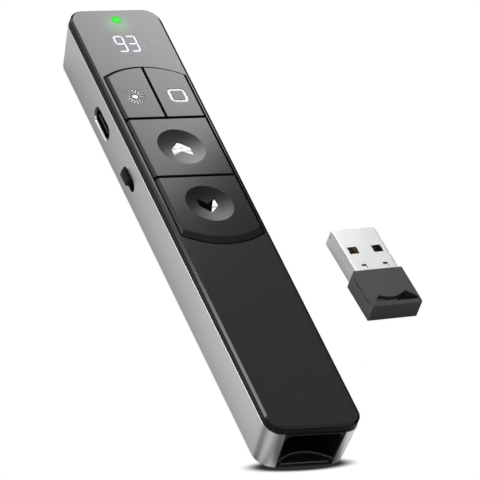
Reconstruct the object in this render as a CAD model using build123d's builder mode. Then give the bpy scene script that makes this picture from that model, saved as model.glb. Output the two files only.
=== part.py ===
"""Wireless presentation clicker, with its USB-A receiver lying beside it.

The clicker lies on its back: +Z runs up through the keys, +Y to the laser end, and the origin is
the centre of the back face. Sizes are millimetres.
"""

import os
from math import cos, radians, sin

from build123d import *

os.makedirs("parts", exist_ok=True)

# ---- Overall form -------------------------------------------------------------------------
LENGTH = 141.0
WIDTH = 24.0
FRAME_HEIGHT = 10.6
CORNER = 4.5
SIDE_LEAN = 0.7  # each long side stands this much further in at the back
NOSE_LEAN = 3.0  # the laser end is this much shorter at the back
HALF_LENGTH = LENGTH / 2
HALF_WIDTH = WIDTH / 2
FIT = 0.1  # clearance between moulded pieces

# ---- Side frame ---------------------------------------------------------------------------
FRAME_WALL = 1.0
RIM_CHAMFER = 0.15
FOOT_CHAMFER = 0.3
END_GAP_LEAN = 0.6  # the open ends are this much wider at the rim, each side
LEDGE_HEIGHT = 1.25
LEDGE_THICKNESS = 0.8
LEDGE_REACH = 0.35
LEDGE_END = 8.5  # from each end of the body

# ---- Back cover ---------------------------------------------------------------------------
BACK_THICKNESS = 1.2
BACK_FAR_ROUND = 1.5
POST_RADIUS = 1.6
POST_BORE = 0.95
HEAD_RADIUS = 1.4
HEAD_HEIGHT = 0.6
HEAD_SUNK = 0.1
SCREW_RADIUS = 0.8
SCREW_LENGTH = 9.4
SLOT_WIDTH = 0.4
SLOT_DEPTH = 0.35
SCREW_X = HALF_WIDTH - 3.7
FAR_SCREWS = 16.5  # from the far end
KEY_SCREWS = 4.4  # beyond the key window
BAY_SCREWS = 2.5  # beyond the receiver bay

# ---- Top cover ----------------------------------------------------------------------------
COVER_STEP = 0.1  # the cover's wall stands this far inside the frame's rim
COVER_RISE = 2.2
COVER_CHAMFER = 0.5
COVER_PLATE = 1.3
COVER_WALL = 0.85
COVER_SKIN = 0.5  # left over the display
COVER_TOP = FRAME_HEIGHT + COVER_RISE
PLATE_UNDER = COVER_TOP - COVER_PLATE
LIP_THICKNESS = 0.8
LIP_DEPTH = 1.1
LIP_GAP = 0.25

# ---- Keys ---------------------------------------------------------------------------------
WINDOW_HALF = HALF_WIDTH - 1.15
WINDOW_ARC = 19.5  # radius of the curved ends of the key window
WINDOW_LENGTH = 61.0
WINDOW_FAR = HALF_LENGTH - 20.6
WINDOW_NEAR = WINDOW_FAR - WINDOW_LENGTH
KEY_GAP = 0.4
ROW_GAP = 0.5
DIVIDER_GAP = 0.55
TOP_ROW_LENGTH = 17.9
MIDDLE_ROW_LENGTH = 19.45
KEY_RISE = 0.65  # above the cover
SIDE_SLOPE = 0.6
FAR_SLOPE = 0.65
NEAR_SLOPE = 1.5
KEY_EDGE = 0.1
KEY_CORNER = 0.5
KEY_TOP = COVER_TOP + KEY_RISE
KEY_FOOT = PLATE_UNDER - 0.45
KEY_POCKET = 0.8
SHORT_POCKET = 0.7  # length of an arc key's pocket over that of the middle key's
KEY_WALL = 1.2
KEY_TRAVEL = 0.3
TAB_THICKNESS = 0.4
TAB_WIDTH = 3.0
TAB_REACH = 0.5
TAB_FROM_ARC = 1.0
STEM_RADIUS = 1.5
DISH_PITCH = 19.35
DISH_RADIUS = 5.9
DISH_DEPTH = 0.8
CHEVRON_HALF = 2.45
CHEVRON_RISE = 2.4
CHEVRON_ARM = 2.4
CHEVRON_NOTCH = 3.1
INLAY_DEPTH = 0.6
INLAY_SUNK = 0.32
ICON_DEPTH = 0.15
ICON_GAP = 0.06
ICON_FROM_ARC = 10.9  # from the window's far arc
SUN_DISC = 0.75
SUN_RAYS = 16
SUN_RAY_START = 1.1
SUN_RAY_LENGTH = 1.4
SUN_RAY_WIDTH = 0.24
SCREEN_SHIFT = 0.3  # from its key's centre
SCREEN_SIZE = 4.6
SCREEN_CORNER = 1.2
SCREEN_STROKE = 0.7

# ---- Circuit board ------------------------------------------------------------------------
BOARD_UNDER = 6.6
BOARD_THICKNESS = 1.0
BOARD_TOP = BOARD_UNDER + BOARD_THICKNESS
BOARD_EDGE = 2.1  # from the body's side to the board's edge
BOARD_FAR = HALF_LENGTH - 2.6
BOARD_MARGIN = 2.0  # beyond its last screws
BOARD_CORNER = 3.0
SWITCH_SIZE = 4.5
SWITCH_HEIGHT = 1.8
SWITCH_CORNER = 0.4
PLUNGER_RADIUS = 1.1
PLUNGER_RISE = 0.5
PLUNGER_DEPTH = 0.6
RUNNING_FIT = 0.05
CHIP_SIZE = 5.0
CHIP_HEIGHT = 0.9
CRYSTAL_LENGTH = 3.2
CRYSTAL_WIDTH = 2.5
CRYSTAL_HEIGHT = 0.8
SMALL_PART_LENGTH = 1.6
SMALL_PART_WIDTH = 0.8
SMALL_PART_HEIGHT = 0.6

# ---- Display and status light -------------------------------------------------------------
LIGHT_Y = HALF_LENGTH - 3.95
LIGHT_RADIUS = 1.25
LIGHT_FLANGE = 1.7
LIGHT_FLANGE_THICKNESS = 0.4
LED_SIZE = 1.6
LED_HEIGHT = 0.6
DISPLAY_X = 0.5
DISPLAY_Y = HALF_LENGTH - 12.5
DISPLAY_WIDTH = 10.0
DISPLAY_DEPTH = 7.2
DIGIT_WIDTH = 2.2
DIGIT_HEIGHT = 5.2
DIGIT_PITCH = 3.2
BAR_THICKNESS = 0.44
BAR_GAP = 0.12
PERCENT_X = 3.75
PERCENT_Y = DISPLAY_Y - 1.4
PERCENT_SIZE = 1.7

# ---- Charging port ------------------------------------------------------------------------
PORT_Y = HALF_LENGTH - 31.65
PORT_WIDTH = 8.94
PORT_HEIGHT = 3.26
PORT_WALL = 0.3
PORT_DEPTH = 7.3
PORT_SUNK = 0.7
PORT_SLOT_MARGIN = 0.2
PORT_LIP = 0.35
TONGUE_WIDTH = 6.7
TONGUE_THICKNESS = 0.7
TONGUE_SUNK = 0.6
TONGUE_BASE = 1.2
PORT_Z = BOARD_UNDER - PORT_HEIGHT / 2

# ---- Power switch -------------------------------------------------------------------------
POWER_Y = HALF_LENGTH - 50.6
POWER_Z = 4.85
POWER_SLOT_LENGTH = 7.6
POWER_SLOT_HEIGHT = 2.8
POWER_TRAVEL = 2.2
KNOB_FROM_FAR = 1.0  # the slot's far end, with the knob at on
KNOB_LENGTH = 4.2
KNOB_HEIGHT = 2.1
KNOB_REACH = 1.1  # beyond the frame's side
KNOB_ROUND = 0.5
SLIDE_LENGTH = 5.0
SLIDE_THICKNESS = 1.5
POWER_BODY_LENGTH = 9.8
POWER_BODY_DEPTH = 3.4
POWER_BODY_SUNK = 1.6

# ---- Laser end ----------------------------------------------------------------------------
NOSE_DEPTH = 6.0
NOSE_STEP = 6.5
NOSE_WALL = 2.3
LASER_Z = 4.1
LASER_APERTURE = 1.5
BARREL_RADIUS = 2.5
BARREL_BORE = 2.0
BARREL_LENGTH = 11.0
SOCKET_DEPTH = 1.2
GLASS_RADIUS = 2.3
GLASS_THICKNESS = 0.7
LENS_THICKNESS = 1.5
DIODE_LENGTH = 3.0
PIN_RADIUS = 0.25
PIN_LENGTH = 3.0
CRADLE_WIDTH = 8.0
CRADLE_THICKNESS = 1.5
CRADLE_SPACING = 4.5

# ---- Receiver bay -------------------------------------------------------------------------
BAY_DEPTH = 26.5
BAY_FLOOR = 2.3
BAY_CEILING = FRAME_HEIGHT - 0.65
BAY_SIDE = 0.5
BAY_WALL = 0.8
BAY_END = 2.2
BAY_ROUND = 1.6
MOUTH_BEVEL = 0.2
SCOOP_RADIUS = 10.3
SCOOP_DEPTH = 2.4
SCOOP_FLOOR = 1.3
MAGNET_WIDTH = 10.0
MAGNET_HEIGHT = 4.0
MAGNET_THICKNESS = 1.5

# ---- Battery ------------------------------------------------------------------------------
BATTERY_MARGIN = 0.7  # to the screw posts
BATTERY_THICKNESS = 4.6
BATTERY_ROUND = 1.0
BATTERY_FROM_BAY = 4.8
PAD_THICKNESS = 0.3
PAD_MARGIN = 1.5
SOCKET_WIDTH = 5.0
SOCKET_LENGTH = 3.5
SOCKET_HEIGHT = 3.0
SOCKET_FROM_EDGE = 24.0  # from the board's near edge
LEAD_LENGTH = 3.5
LEAD_RADIUS = 0.45
LEAD_SPACING = 2.0

# ---- Receiver -----------------------------------------------------------------------------
DONGLE_X = HALF_WIDTH + 28.45
DONGLE_Y = -13.45
DONGLE_TURN = 3.9
PLUG_WIDTH = 12.0
PLUG_THICKNESS = 4.5
PLUG_WALL = 0.3
PLUG_REACH = 13.9
PLUG_HELD = 4.0
PLUG_LIFT = 0.3
HOLE_WIDTH = 2.5
HOLE_LENGTH = 2.25
HOLE_SPACING = 6.5
HOLE_FROM_CAP = 6.95
SLIT_WIDTH = 1.2
SLIT_LENGTH = 1.3
SLIT_CUT = 0.3
SLIT_FROM_CAP = 1.9
SLIT_SPACING = 5.77
SLIT_SHIFT = 0.12
PIN_HOLE = 0.4
PIN_HOLE_Z = 3.6
CAP_WALL = 0.6
CAP_WIDTH = PLUG_WIDTH + 2 * CAP_WALL
CAP_LENGTH = 11.5
CAP_HEIGHT = 5.1
CAP_BEVEL = 0.5
CAP_EDGE = 0.2
CAP_GROOVE_Z = 3.7
CAP_GROOVE_LENGTH = 8.5
CAP_GROOVE = 0.18
CAP_DIP_LENGTH = 0.8
CAP_DIP = 0.45
CAP_DIP_SPACING = 4.6
CAP_CEILING = 1.5
GRIP_NEAR = 0.8  # from the cap's end
GRIP_DEPTH = 1.0
LOOP_DEPTH = 2.6  # of the deeper right half of the grip
INSULATOR_THICKNESS = 1.9
CONTACT_WIDTH = 1.0
CONTACT_THICKNESS = 0.15
CONTACT_LENGTH = 8.0
CONTACT_SUNK = 1.4  # from the plug's mouth
TONGUE_ROOT = 2.0  # inside the cap
DONGLE_BOARD_THICKNESS = 0.8
DONGLE_BOARD_MARGIN = 0.5
DONGLE_BOARD_WIDTH = PLUG_WIDTH - 2 * PLUG_WALL - 2 * DONGLE_BOARD_MARGIN
DONGLE_BOARD_LENGTH = 5.2
DONGLE_CHIP = 3.0


def across(y):
    """The plane that cuts the body across at y, facing the near end."""
    return Plane.XZ.offset(-y)


def body_outline(z, inset):
    """The leaning body's outline at height z, set in by inset."""
    lean = 1 - z / FRAME_HEIGHT
    wide = WIDTH - 2 * SIDE_LEAN * lean - 2 * inset
    long = LENGTH - NOSE_LEAN * lean - 2 * inset
    with BuildSketch(Plane.XY.offset(z)) as outline:
        with Locations((0, -NOSE_LEAN * lean / 2)):
            RectangleRounded(wide, long, CORNER - inset)
    return outline.sketch


def leaning_block(inset, mode=Mode.ADD):
    """Fills the body's outline, set in by inset, from the back to the frame's rim."""
    loft([body_outline(0, inset), body_outline(FRAME_HEIGHT, inset)], ruled=True, mode=mode)


def bevelled_block():
    """Fills the body's full outline, with its small bevels at the back and the rim."""
    shoulder = FRAME_HEIGHT - RIM_CHAMFER
    loft([body_outline(0, FOOT_CHAMFER), body_outline(FOOT_CHAMFER, 0)], ruled=True)
    loft([body_outline(FOOT_CHAMFER, 0), body_outline(shoulder, 0)], ruled=True)
    loft([body_outline(shoulder, 0), body_outline(FRAME_HEIGHT, RIM_CHAMFER)], ruled=True)


def end_gap_half(z):
    """Half the width of the opening between the rails' ends at height z."""
    return CAP_WIDTH / 2 + BAY_SIDE + END_GAP_LEAN * z / FRAME_HEIGHT


def end_outline(low, high, margin):
    """The opening's outline between two heights, set in by margin at each side."""
    left, right = end_gap_half(low) - margin, end_gap_half(high) - margin
    Polygon((-left, low), (left, low), (right, high), (-right, high), align=None)


# ---- Side rails: two thin aluminium rails, wrapped round the corners at both ends ------------
def rail(side):
    """One rail (side -1 left, 1 right) with its inner ledge and its open ends."""
    bevelled_block()
    leaning_block(FRAME_WALL, Mode.SUBTRACT)
    ledge_outer = HALF_WIDTH - SIDE_LEAN - FRAME_WALL / 2
    ledge_inner = HALF_WIDTH - SIDE_LEAN - FRAME_WALL - LEDGE_REACH
    with BuildSketch(Plane.XY.offset(LEDGE_HEIGHT)) as ledge:
        with Locations((side * (ledge_outer + ledge_inner) / 2, 0)):
            Rectangle(ledge_outer - ledge_inner, LENGTH - 2 * LEDGE_END)
    extrude(ledge.sketch, amount=LEDGE_THICKNESS)
    with BuildSketch(across(HALF_LENGTH + 1)) as gap:
        end_outline(-1, FRAME_HEIGHT + 1, 0)
    extrude(gap.sketch, amount=LENGTH + 2, mode=Mode.SUBTRACT)
    with BuildSketch(Plane.XY) as other_side:
        with Locations((-side * WIDTH, 0)):
            Rectangle(2 * WIDTH, 2 * LENGTH)
    extrude(other_side.sketch, amount=FRAME_HEIGHT, mode=Mode.SUBTRACT)


with BuildPart() as left_rail:
    rail(-1)
    # Slots for the charging port and the power switch
    with BuildSketch(Plane.YZ.offset(-HALF_WIDTH - 1)):
        with Locations((PORT_Y, PORT_Z)):
            SlotOverall(PORT_WIDTH + 2 * PORT_SLOT_MARGIN, PORT_HEIGHT + 2 * PORT_SLOT_MARGIN)
        with Locations((POWER_Y, POWER_Z)):
            SlotOverall(POWER_SLOT_LENGTH, POWER_SLOT_HEIGHT)
    extrude(amount=2 * FRAME_WALL + SIDE_LEAN, mode=Mode.SUBTRACT)
    # A bright lip is cut round the port's slot
    port_edges = left_rail.edges().filter_by_position(Axis.Y, PORT_Y - PORT_WIDTH, PORT_Y + PORT_WIDTH)
    slot_edges = port_edges.filter_by_position(Axis.Z, PORT_Z - PORT_HEIGHT, PORT_Z + PORT_HEIGHT)
    chamfer(slot_edges.filter_by_position(Axis.X, -HALF_WIDTH, -HALF_WIDTH + SIDE_LEAN), PORT_LIP)

with BuildPart() as right_rail:
    rail(1)

# ---- Back cover: closing plate with the screw posts and the laser's cradle --------------------
BACK_INSET = SIDE_LEAN + FRAME_WALL + FIT
BACK_NEAR = -HALF_LENGTH + FRAME_WALL + FIT
BACK_FAR = HALF_LENGTH - NOSE_DEPTH - FIT
BAY_BACK = -HALF_LENGTH + BAY_DEPTH + BAY_END
SCREW_ROWS = (BAY_BACK + BAY_SCREWS, WINDOW_NEAR - KEY_SCREWS, HALF_LENGTH - FAR_SCREWS)
SCREW_PLACES = [(side * SCREW_X, y) for y in SCREW_ROWS for side in (-1, 1)]
BOARD_PLACES = SCREW_PLACES[2:]
with BuildPart() as back_cover:
    with BuildSketch(Plane.XY):
        with Locations((0, (BACK_NEAR + BACK_FAR) / 2)):
            Rectangle(2 * (HALF_WIDTH - BACK_INSET), BACK_FAR - BACK_NEAR)
    extrude(amount=BACK_THICKNESS)
    near_corners = back_cover.edges().filter_by(Axis.Z).group_by(Axis.Y)[0]
    fillet(near_corners, CORNER - FRAME_WALL)
    far_corners = back_cover.edges().filter_by(Axis.Z).group_by(Axis.Y)[-1]
    fillet(far_corners, BACK_FAR_ROUND)
    # Posts: the near pair reaches the cover's bosses, the others carry the board
    with BuildSketch(Plane.XY.offset(BACK_THICKNESS)):
        with Locations(*SCREW_PLACES[:2]):
            Circle(POST_RADIUS)
    extrude(amount=BOARD_TOP - BACK_THICKNESS)
    with BuildSketch(Plane.XY.offset(BACK_THICKNESS)):
        with Locations(*BOARD_PLACES):
            Circle(POST_RADIUS)
    extrude(amount=BOARD_UNDER - BACK_THICKNESS)
    # Cradle that the laser barrel lies in
    barrel_mid = HALF_LENGTH - NOSE_DEPTH - BARREL_LENGTH / 2
    with BuildSketch(Plane.XY.offset(BACK_THICKNESS)):
        with Locations((0, barrel_mid - CRADLE_SPACING / 2), (0, barrel_mid + CRADLE_SPACING / 2)):
            Rectangle(CRADLE_WIDTH, CRADLE_THICKNESS)
    extrude(amount=LASER_Z - BACK_THICKNESS)
    with BuildSketch(across(barrel_mid + CRADLE_SPACING)):
        with Locations((0, LASER_Z)):
            Circle(BARREL_RADIUS + RUNNING_FIT / 2)
    extrude(amount=2 * CRADLE_SPACING, mode=Mode.SUBTRACT)
    # Screw holes with sunk seats
    with BuildSketch(Plane.XY):
        with Locations(*SCREW_PLACES):
            Circle(POST_BORE)
    extrude(amount=BOARD_TOP, mode=Mode.SUBTRACT)
    with BuildSketch(Plane.XY):
        with Locations(*SCREW_PLACES):
            Circle(HEAD_RADIUS + FIT)
    extrude(amount=HEAD_SUNK + HEAD_HEIGHT, mode=Mode.SUBTRACT)

# ---- Screws: six equal cross-head screws, driven in from the back -----------------------------
with BuildPart() as body_screws:
    with BuildSketch(Plane.XY.offset(HEAD_SUNK)):
        with Locations(*SCREW_PLACES):
            Circle(HEAD_RADIUS)
    extrude(amount=HEAD_HEIGHT)
    with BuildSketch(Plane.XY.offset(HEAD_SUNK + HEAD_HEIGHT)):
        with Locations(*SCREW_PLACES):
            Circle(SCREW_RADIUS)
    extrude(amount=SCREW_LENGTH)
    with BuildSketch(Plane.XY.offset(HEAD_SUNK)):
        with Locations(*SCREW_PLACES):
            Rectangle(2 * SCREW_RADIUS, SLOT_WIDTH)
            Rectangle(SLOT_WIDTH, 2 * SCREW_RADIUS)
    extrude(amount=SLOT_DEPTH, mode=Mode.SUBTRACT)


# ---- Keys: one block with sloped edges, cut into four keys ------------------------------------
FAR_CENTRE = WINDOW_FAR - WINDOW_ARC
NEAR_CENTRE = WINDOW_NEAR + WINDOW_ARC
TOP_ROW_NEAR = WINDOW_FAR - KEY_GAP - TOP_ROW_LENGTH
MIDDLE_ROW_FAR = TOP_ROW_NEAR - ROW_GAP
MIDDLE_ROW_NEAR = MIDDLE_ROW_FAR - MIDDLE_ROW_LENGTH
BOTTOM_ROW_FAR = MIDDLE_ROW_NEAR - ROW_GAP
TOP_ROW_Y = WINDOW_FAR - ICON_FROM_ARC
UP_Y = (MIDDLE_ROW_FAR + MIDDLE_ROW_NEAR) / 2
DOWN_Y = UP_Y - DISH_PITCH
SMALL_KEY_X = WINDOW_HALF / 2
PLUNGER_TOP = BOARD_TOP + SWITCH_HEIGHT + PLUNGER_RISE


def window_outline(side, far, near):
    """The key window's outline, set in at the sides, the far arc and the near arc."""
    with Locations((0, FAR_CENTRE)):
        Circle(WINDOW_ARC - far)
    with Locations((0, NEAR_CENTRE)):
        Circle(WINDOW_ARC - near)
    with Locations((0, (FAR_CENTRE + NEAR_CENTRE) / 2)):
        Rectangle(2 * WINDOW_ARC, FAR_CENTRE - NEAR_CENTRE)
    Rectangle(2 * (WINDOW_HALF - side), 2 * LENGTH, mode=Mode.INTERSECT)


def key_block():
    """Fills the form that the four keys share, from their feet to their tops."""
    with BuildSketch(Plane.XY.offset(KEY_FOOT)) as foot:
        window_outline(KEY_GAP, KEY_GAP, KEY_GAP)
    extrude(foot.sketch, amount=COVER_TOP - KEY_FOOT)
    with BuildSketch(Plane.XY.offset(COVER_TOP)) as shoulder:
        window_outline(KEY_GAP, KEY_GAP, KEY_GAP)
    with BuildSketch(Plane.XY.offset(KEY_TOP)) as top:
        window_outline(KEY_GAP + SIDE_SLOPE, KEY_GAP + FAR_SLOPE, KEY_GAP + NEAR_SLOPE)
    loft([shoulder.sketch, top.sketch], ruled=True)


def keep_cell(left, right, near, far):
    """Cuts the open part back to one key's cell."""
    with BuildSketch(Plane.XY.offset(KEY_FOOT)) as cell:
        with Locations(((left + right) / 2, (near + far) / 2)):
            RectangleRounded(right - left, far - near, KEY_CORNER)
    extrude(cell.sketch, amount=KEY_TOP - KEY_FOOT, mode=Mode.INTERSECT)


def hollow_key(x, y, width, depth):
    """Hollows the key from below and leaves the stem that works its switch."""
    with BuildSketch(Plane.XY.offset(KEY_FOOT)) as pocket:
        with Locations((x, y)):
            Rectangle(width, depth)
    extrude(pocket.sketch, amount=KEY_POCKET, mode=Mode.SUBTRACT)
    with BuildSketch(Plane.XY.offset(PLUNGER_TOP)) as stem:
        with Locations((x, y)):
            Circle(STEM_RADIUS)
    extrude(stem.sketch, amount=KEY_FOOT + KEY_POCKET - PLUNGER_TOP)


def side_tab(side, y, margin=0.0):
    """The sketch of a tab that holds a key under the cover's side."""
    inner = WINDOW_HALF - KEY_WALL
    outer = WINDOW_HALF + TAB_REACH + margin
    with Locations((side * (inner + outer) / 2, y)):
        Rectangle(outer - inner, TAB_WIDTH + 2 * margin)


def end_tab(x, y):
    """The sketch of a tab that holds a key under the cover at an arc."""
    with Locations((x, y)):
        Rectangle(TAB_WIDTH, 2 * KEY_WALL)


def add_tabs(*tabs):
    """Adds tabs at the key's foot; each is a sketch function with its arguments."""
    with BuildSketch(Plane.XY.offset(KEY_FOOT)) as outline:
        for tab, first, second in tabs:
            tab(first, second)
    extrude(outline.sketch, amount=TAB_THICKNESS)


DISH_SPHERE = (DISH_RADIUS**2 + DISH_DEPTH**2) / (2 * DISH_DEPTH)
DISH_CENTRE = KEY_TOP + DISH_SPHERE - DISH_DEPTH
INLAY_FOOT = KEY_TOP - DISH_DEPTH - INLAY_DEPTH


def chevron_outline(y, way):
    """The chevron's outline at y, pointing to the far end (way 1) or the near end (way -1)."""
    points = [
        (0, CHEVRON_RISE),
        (-CHEVRON_HALF, 0),
        (-CHEVRON_HALF, -CHEVRON_ARM),
        (0, CHEVRON_RISE - CHEVRON_NOTCH),
        (CHEVRON_HALF, -CHEVRON_ARM),
        (CHEVRON_HALF, 0),
    ]
    Polygon(*[(px, y + way * py) for px, py in points], align=None)


def dish(y, way):
    """Sinks the thumb dish and the chevron's seat into the key's top."""
    with Locations((0, y, DISH_CENTRE)):
        Sphere(DISH_SPHERE, mode=Mode.SUBTRACT)
    with BuildSketch(Plane.XY.offset(INLAY_FOOT)) as seat:
        chevron_outline(y, way)
    extrude(seat.sketch, amount=2 * DISH_DEPTH, mode=Mode.SUBTRACT)


def chevron_plate(y, way):
    """The inlay in that seat; its face follows the dish, a little deeper."""
    with BuildSketch(Plane.XY.offset(INLAY_FOOT)) as plate:
        chevron_outline(y, way)
    extrude(plate.sketch, amount=2 * DISH_DEPTH)
    with Locations((0, y, DISH_CENTRE)):
        Sphere(DISH_SPHERE + INLAY_SUNK, mode=Mode.SUBTRACT)


def sun_outline(gap):
    """The laser key's symbol, grown by gap: a disc with rays."""
    with Locations((-SMALL_KEY_X, TOP_ROW_Y)):
        Circle(SUN_DISC + gap)
        with PolarLocations(SUN_RAY_START + SUN_RAY_LENGTH / 2, SUN_RAYS):
            Rectangle(SUN_RAY_LENGTH + 2 * gap, SUN_RAY_WIDTH + 2 * gap)


def screen_outline(gap):
    """The screen key's symbol, grown by gap: a rounded square ring."""
    outer = SCREEN_SIZE + 2 * gap
    inner = SCREEN_SIZE - 2 * SCREEN_STROKE - 2 * gap
    with Locations((SMALL_KEY_X + SCREEN_SHIFT, TOP_ROW_Y)):
        RectangleRounded(outer, outer, SCREEN_CORNER + gap)
        RectangleRounded(inner, inner, SCREEN_CORNER - SCREEN_STROKE - gap, mode=Mode.SUBTRACT)


SIDE_FREE = WINDOW_HALF - KEY_GAP
SMALL_POCKET = SIDE_FREE - DIVIDER_GAP / 2 - 2 * KEY_WALL
ROW_POCKET = MIDDLE_ROW_FAR - MIDDLE_ROW_NEAR - 2 * KEY_WALL
FAR_TAB_Y = WINDOW_FAR - TAB_FROM_ARC
NEAR_TAB_Y = WINDOW_NEAR + TAB_FROM_ARC

with BuildPart() as laser_key:
    key_block()
    keep_cell(-SIDE_FREE, -DIVIDER_GAP / 2, TOP_ROW_NEAR, WINDOW_FAR)
    chamfer(laser_key.edges().group_by(Axis.Z)[-1], KEY_EDGE)
    hollow_key(-SMALL_KEY_X, TOP_ROW_Y, SMALL_POCKET, ROW_POCKET * SHORT_POCKET)
    add_tabs((side_tab, -1, TOP_ROW_Y), (end_tab, -SMALL_KEY_X, FAR_TAB_Y))
    with BuildSketch(Plane.XY.offset(KEY_TOP - ICON_DEPTH)):
        sun_outline(ICON_GAP)
    extrude(amount=ICON_DEPTH, mode=Mode.SUBTRACT)

with BuildPart() as laser_icon:
    with BuildSketch(Plane.XY.offset(KEY_TOP - ICON_DEPTH)):
        sun_outline(0)
    extrude(amount=ICON_DEPTH)

with BuildPart() as screen_key:
    key_block()
    keep_cell(DIVIDER_GAP / 2, SIDE_FREE, TOP_ROW_NEAR, WINDOW_FAR)
    chamfer(screen_key.edges().group_by(Axis.Z)[-1], KEY_EDGE)
    hollow_key(SMALL_KEY_X, TOP_ROW_Y, SMALL_POCKET, ROW_POCKET * SHORT_POCKET)
    add_tabs((side_tab, 1, TOP_ROW_Y), (end_tab, SMALL_KEY_X, FAR_TAB_Y))
    with BuildSketch(Plane.XY.offset(KEY_TOP - ICON_DEPTH)):
        screen_outline(ICON_GAP)
    extrude(amount=ICON_DEPTH, mode=Mode.SUBTRACT)

with BuildPart() as screen_icon:
    with BuildSketch(Plane.XY.offset(KEY_TOP - ICON_DEPTH)):
        screen_outline(0)
    extrude(amount=ICON_DEPTH)

with BuildPart() as page_up_key:
    key_block()
    keep_cell(-SIDE_FREE, SIDE_FREE, MIDDLE_ROW_NEAR, MIDDLE_ROW_FAR)
    chamfer(page_up_key.edges().group_by(Axis.Z)[-1], KEY_EDGE)
    hollow_key(0, UP_Y, 2 * SIDE_FREE - 2 * KEY_WALL, ROW_POCKET)
    add_tabs((side_tab, -1, UP_Y), (side_tab, 1, UP_Y))
    dish(UP_Y, 1)

with BuildPart() as up_chevron:
    chevron_plate(UP_Y, 1)

with BuildPart() as page_down_key:
    key_block()
    keep_cell(-SIDE_FREE, SIDE_FREE, WINDOW_NEAR, BOTTOM_ROW_FAR)
    chamfer(page_down_key.edges().group_by(Axis.Z)[-1], KEY_EDGE)
    hollow_key(0, DOWN_Y, 2 * SIDE_FREE - 2 * KEY_WALL, ROW_POCKET * SHORT_POCKET)
    add_tabs((side_tab, -1, DOWN_Y), (side_tab, 1, DOWN_Y), (end_tab, 0, NEAR_TAB_Y))
    dish(DOWN_Y, -1)

with BuildPart() as down_chevron:
    chevron_plate(DOWN_Y, -1)


# ---- Top cover: black housing with the key window, the bosses and the locating lips ----------
def bar(length):
    """One bar of a digit, with pointed ends."""
    half, tip = length / 2, BAR_THICKNESS / 2
    Polygon(
        (-half, 0),
        (-half + tip, tip),
        (half - tip, tip),
        (half, 0),
        (half - tip, -tip),
        (-half + tip, -tip),
    )


def digit(x, lit):
    """The lit bars of the digit centred at x."""
    w, h = DIGIT_WIDTH / 2, DIGIT_HEIGHT / 2
    places = {
        "top": (0, h, 0),
        "middle": (0, 0, 0),
        "bottom": (0, -h, 0),
        "upper_left": (-w, h / 2, 90),
        "upper_right": (w, h / 2, 90),
        "lower_left": (-w, -h / 2, 90),
        "lower_right": (w, -h / 2, 90),
    }
    for name in lit:
        dx, dy, turn = places[name]
        length = (DIGIT_WIDTH if turn == 0 else h) - BAR_GAP
        with Locations(Location((x + dx, DISPLAY_Y + dy, 0), (0, 0, turn))):
            bar(length)


def digits_outline():
    """The two digits that are lit: a nine and a three."""
    nine = ("top", "middle", "bottom", "upper_left", "upper_right", "lower_right")
    three = ("top", "middle", "bottom", "upper_right", "lower_right")
    digit(DISPLAY_X - 2.5, nine)
    digit(DISPLAY_X - 2.5 + DIGIT_PITCH, three)


def percent_outline():
    """The dim sign beside the digits: two dots and a stroke."""
    reach = PERCENT_SIZE / 3
    with Locations((PERCENT_X - reach, PERCENT_Y + reach), (PERCENT_X + reach, PERCENT_Y - reach)):
        Circle(PERCENT_SIZE / 7)
    with Locations(Location((PERCENT_X, PERCENT_Y, 0), (0, 0, 60))):
        Rectangle(PERCENT_SIZE, PERCENT_SIZE / 8)


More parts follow.
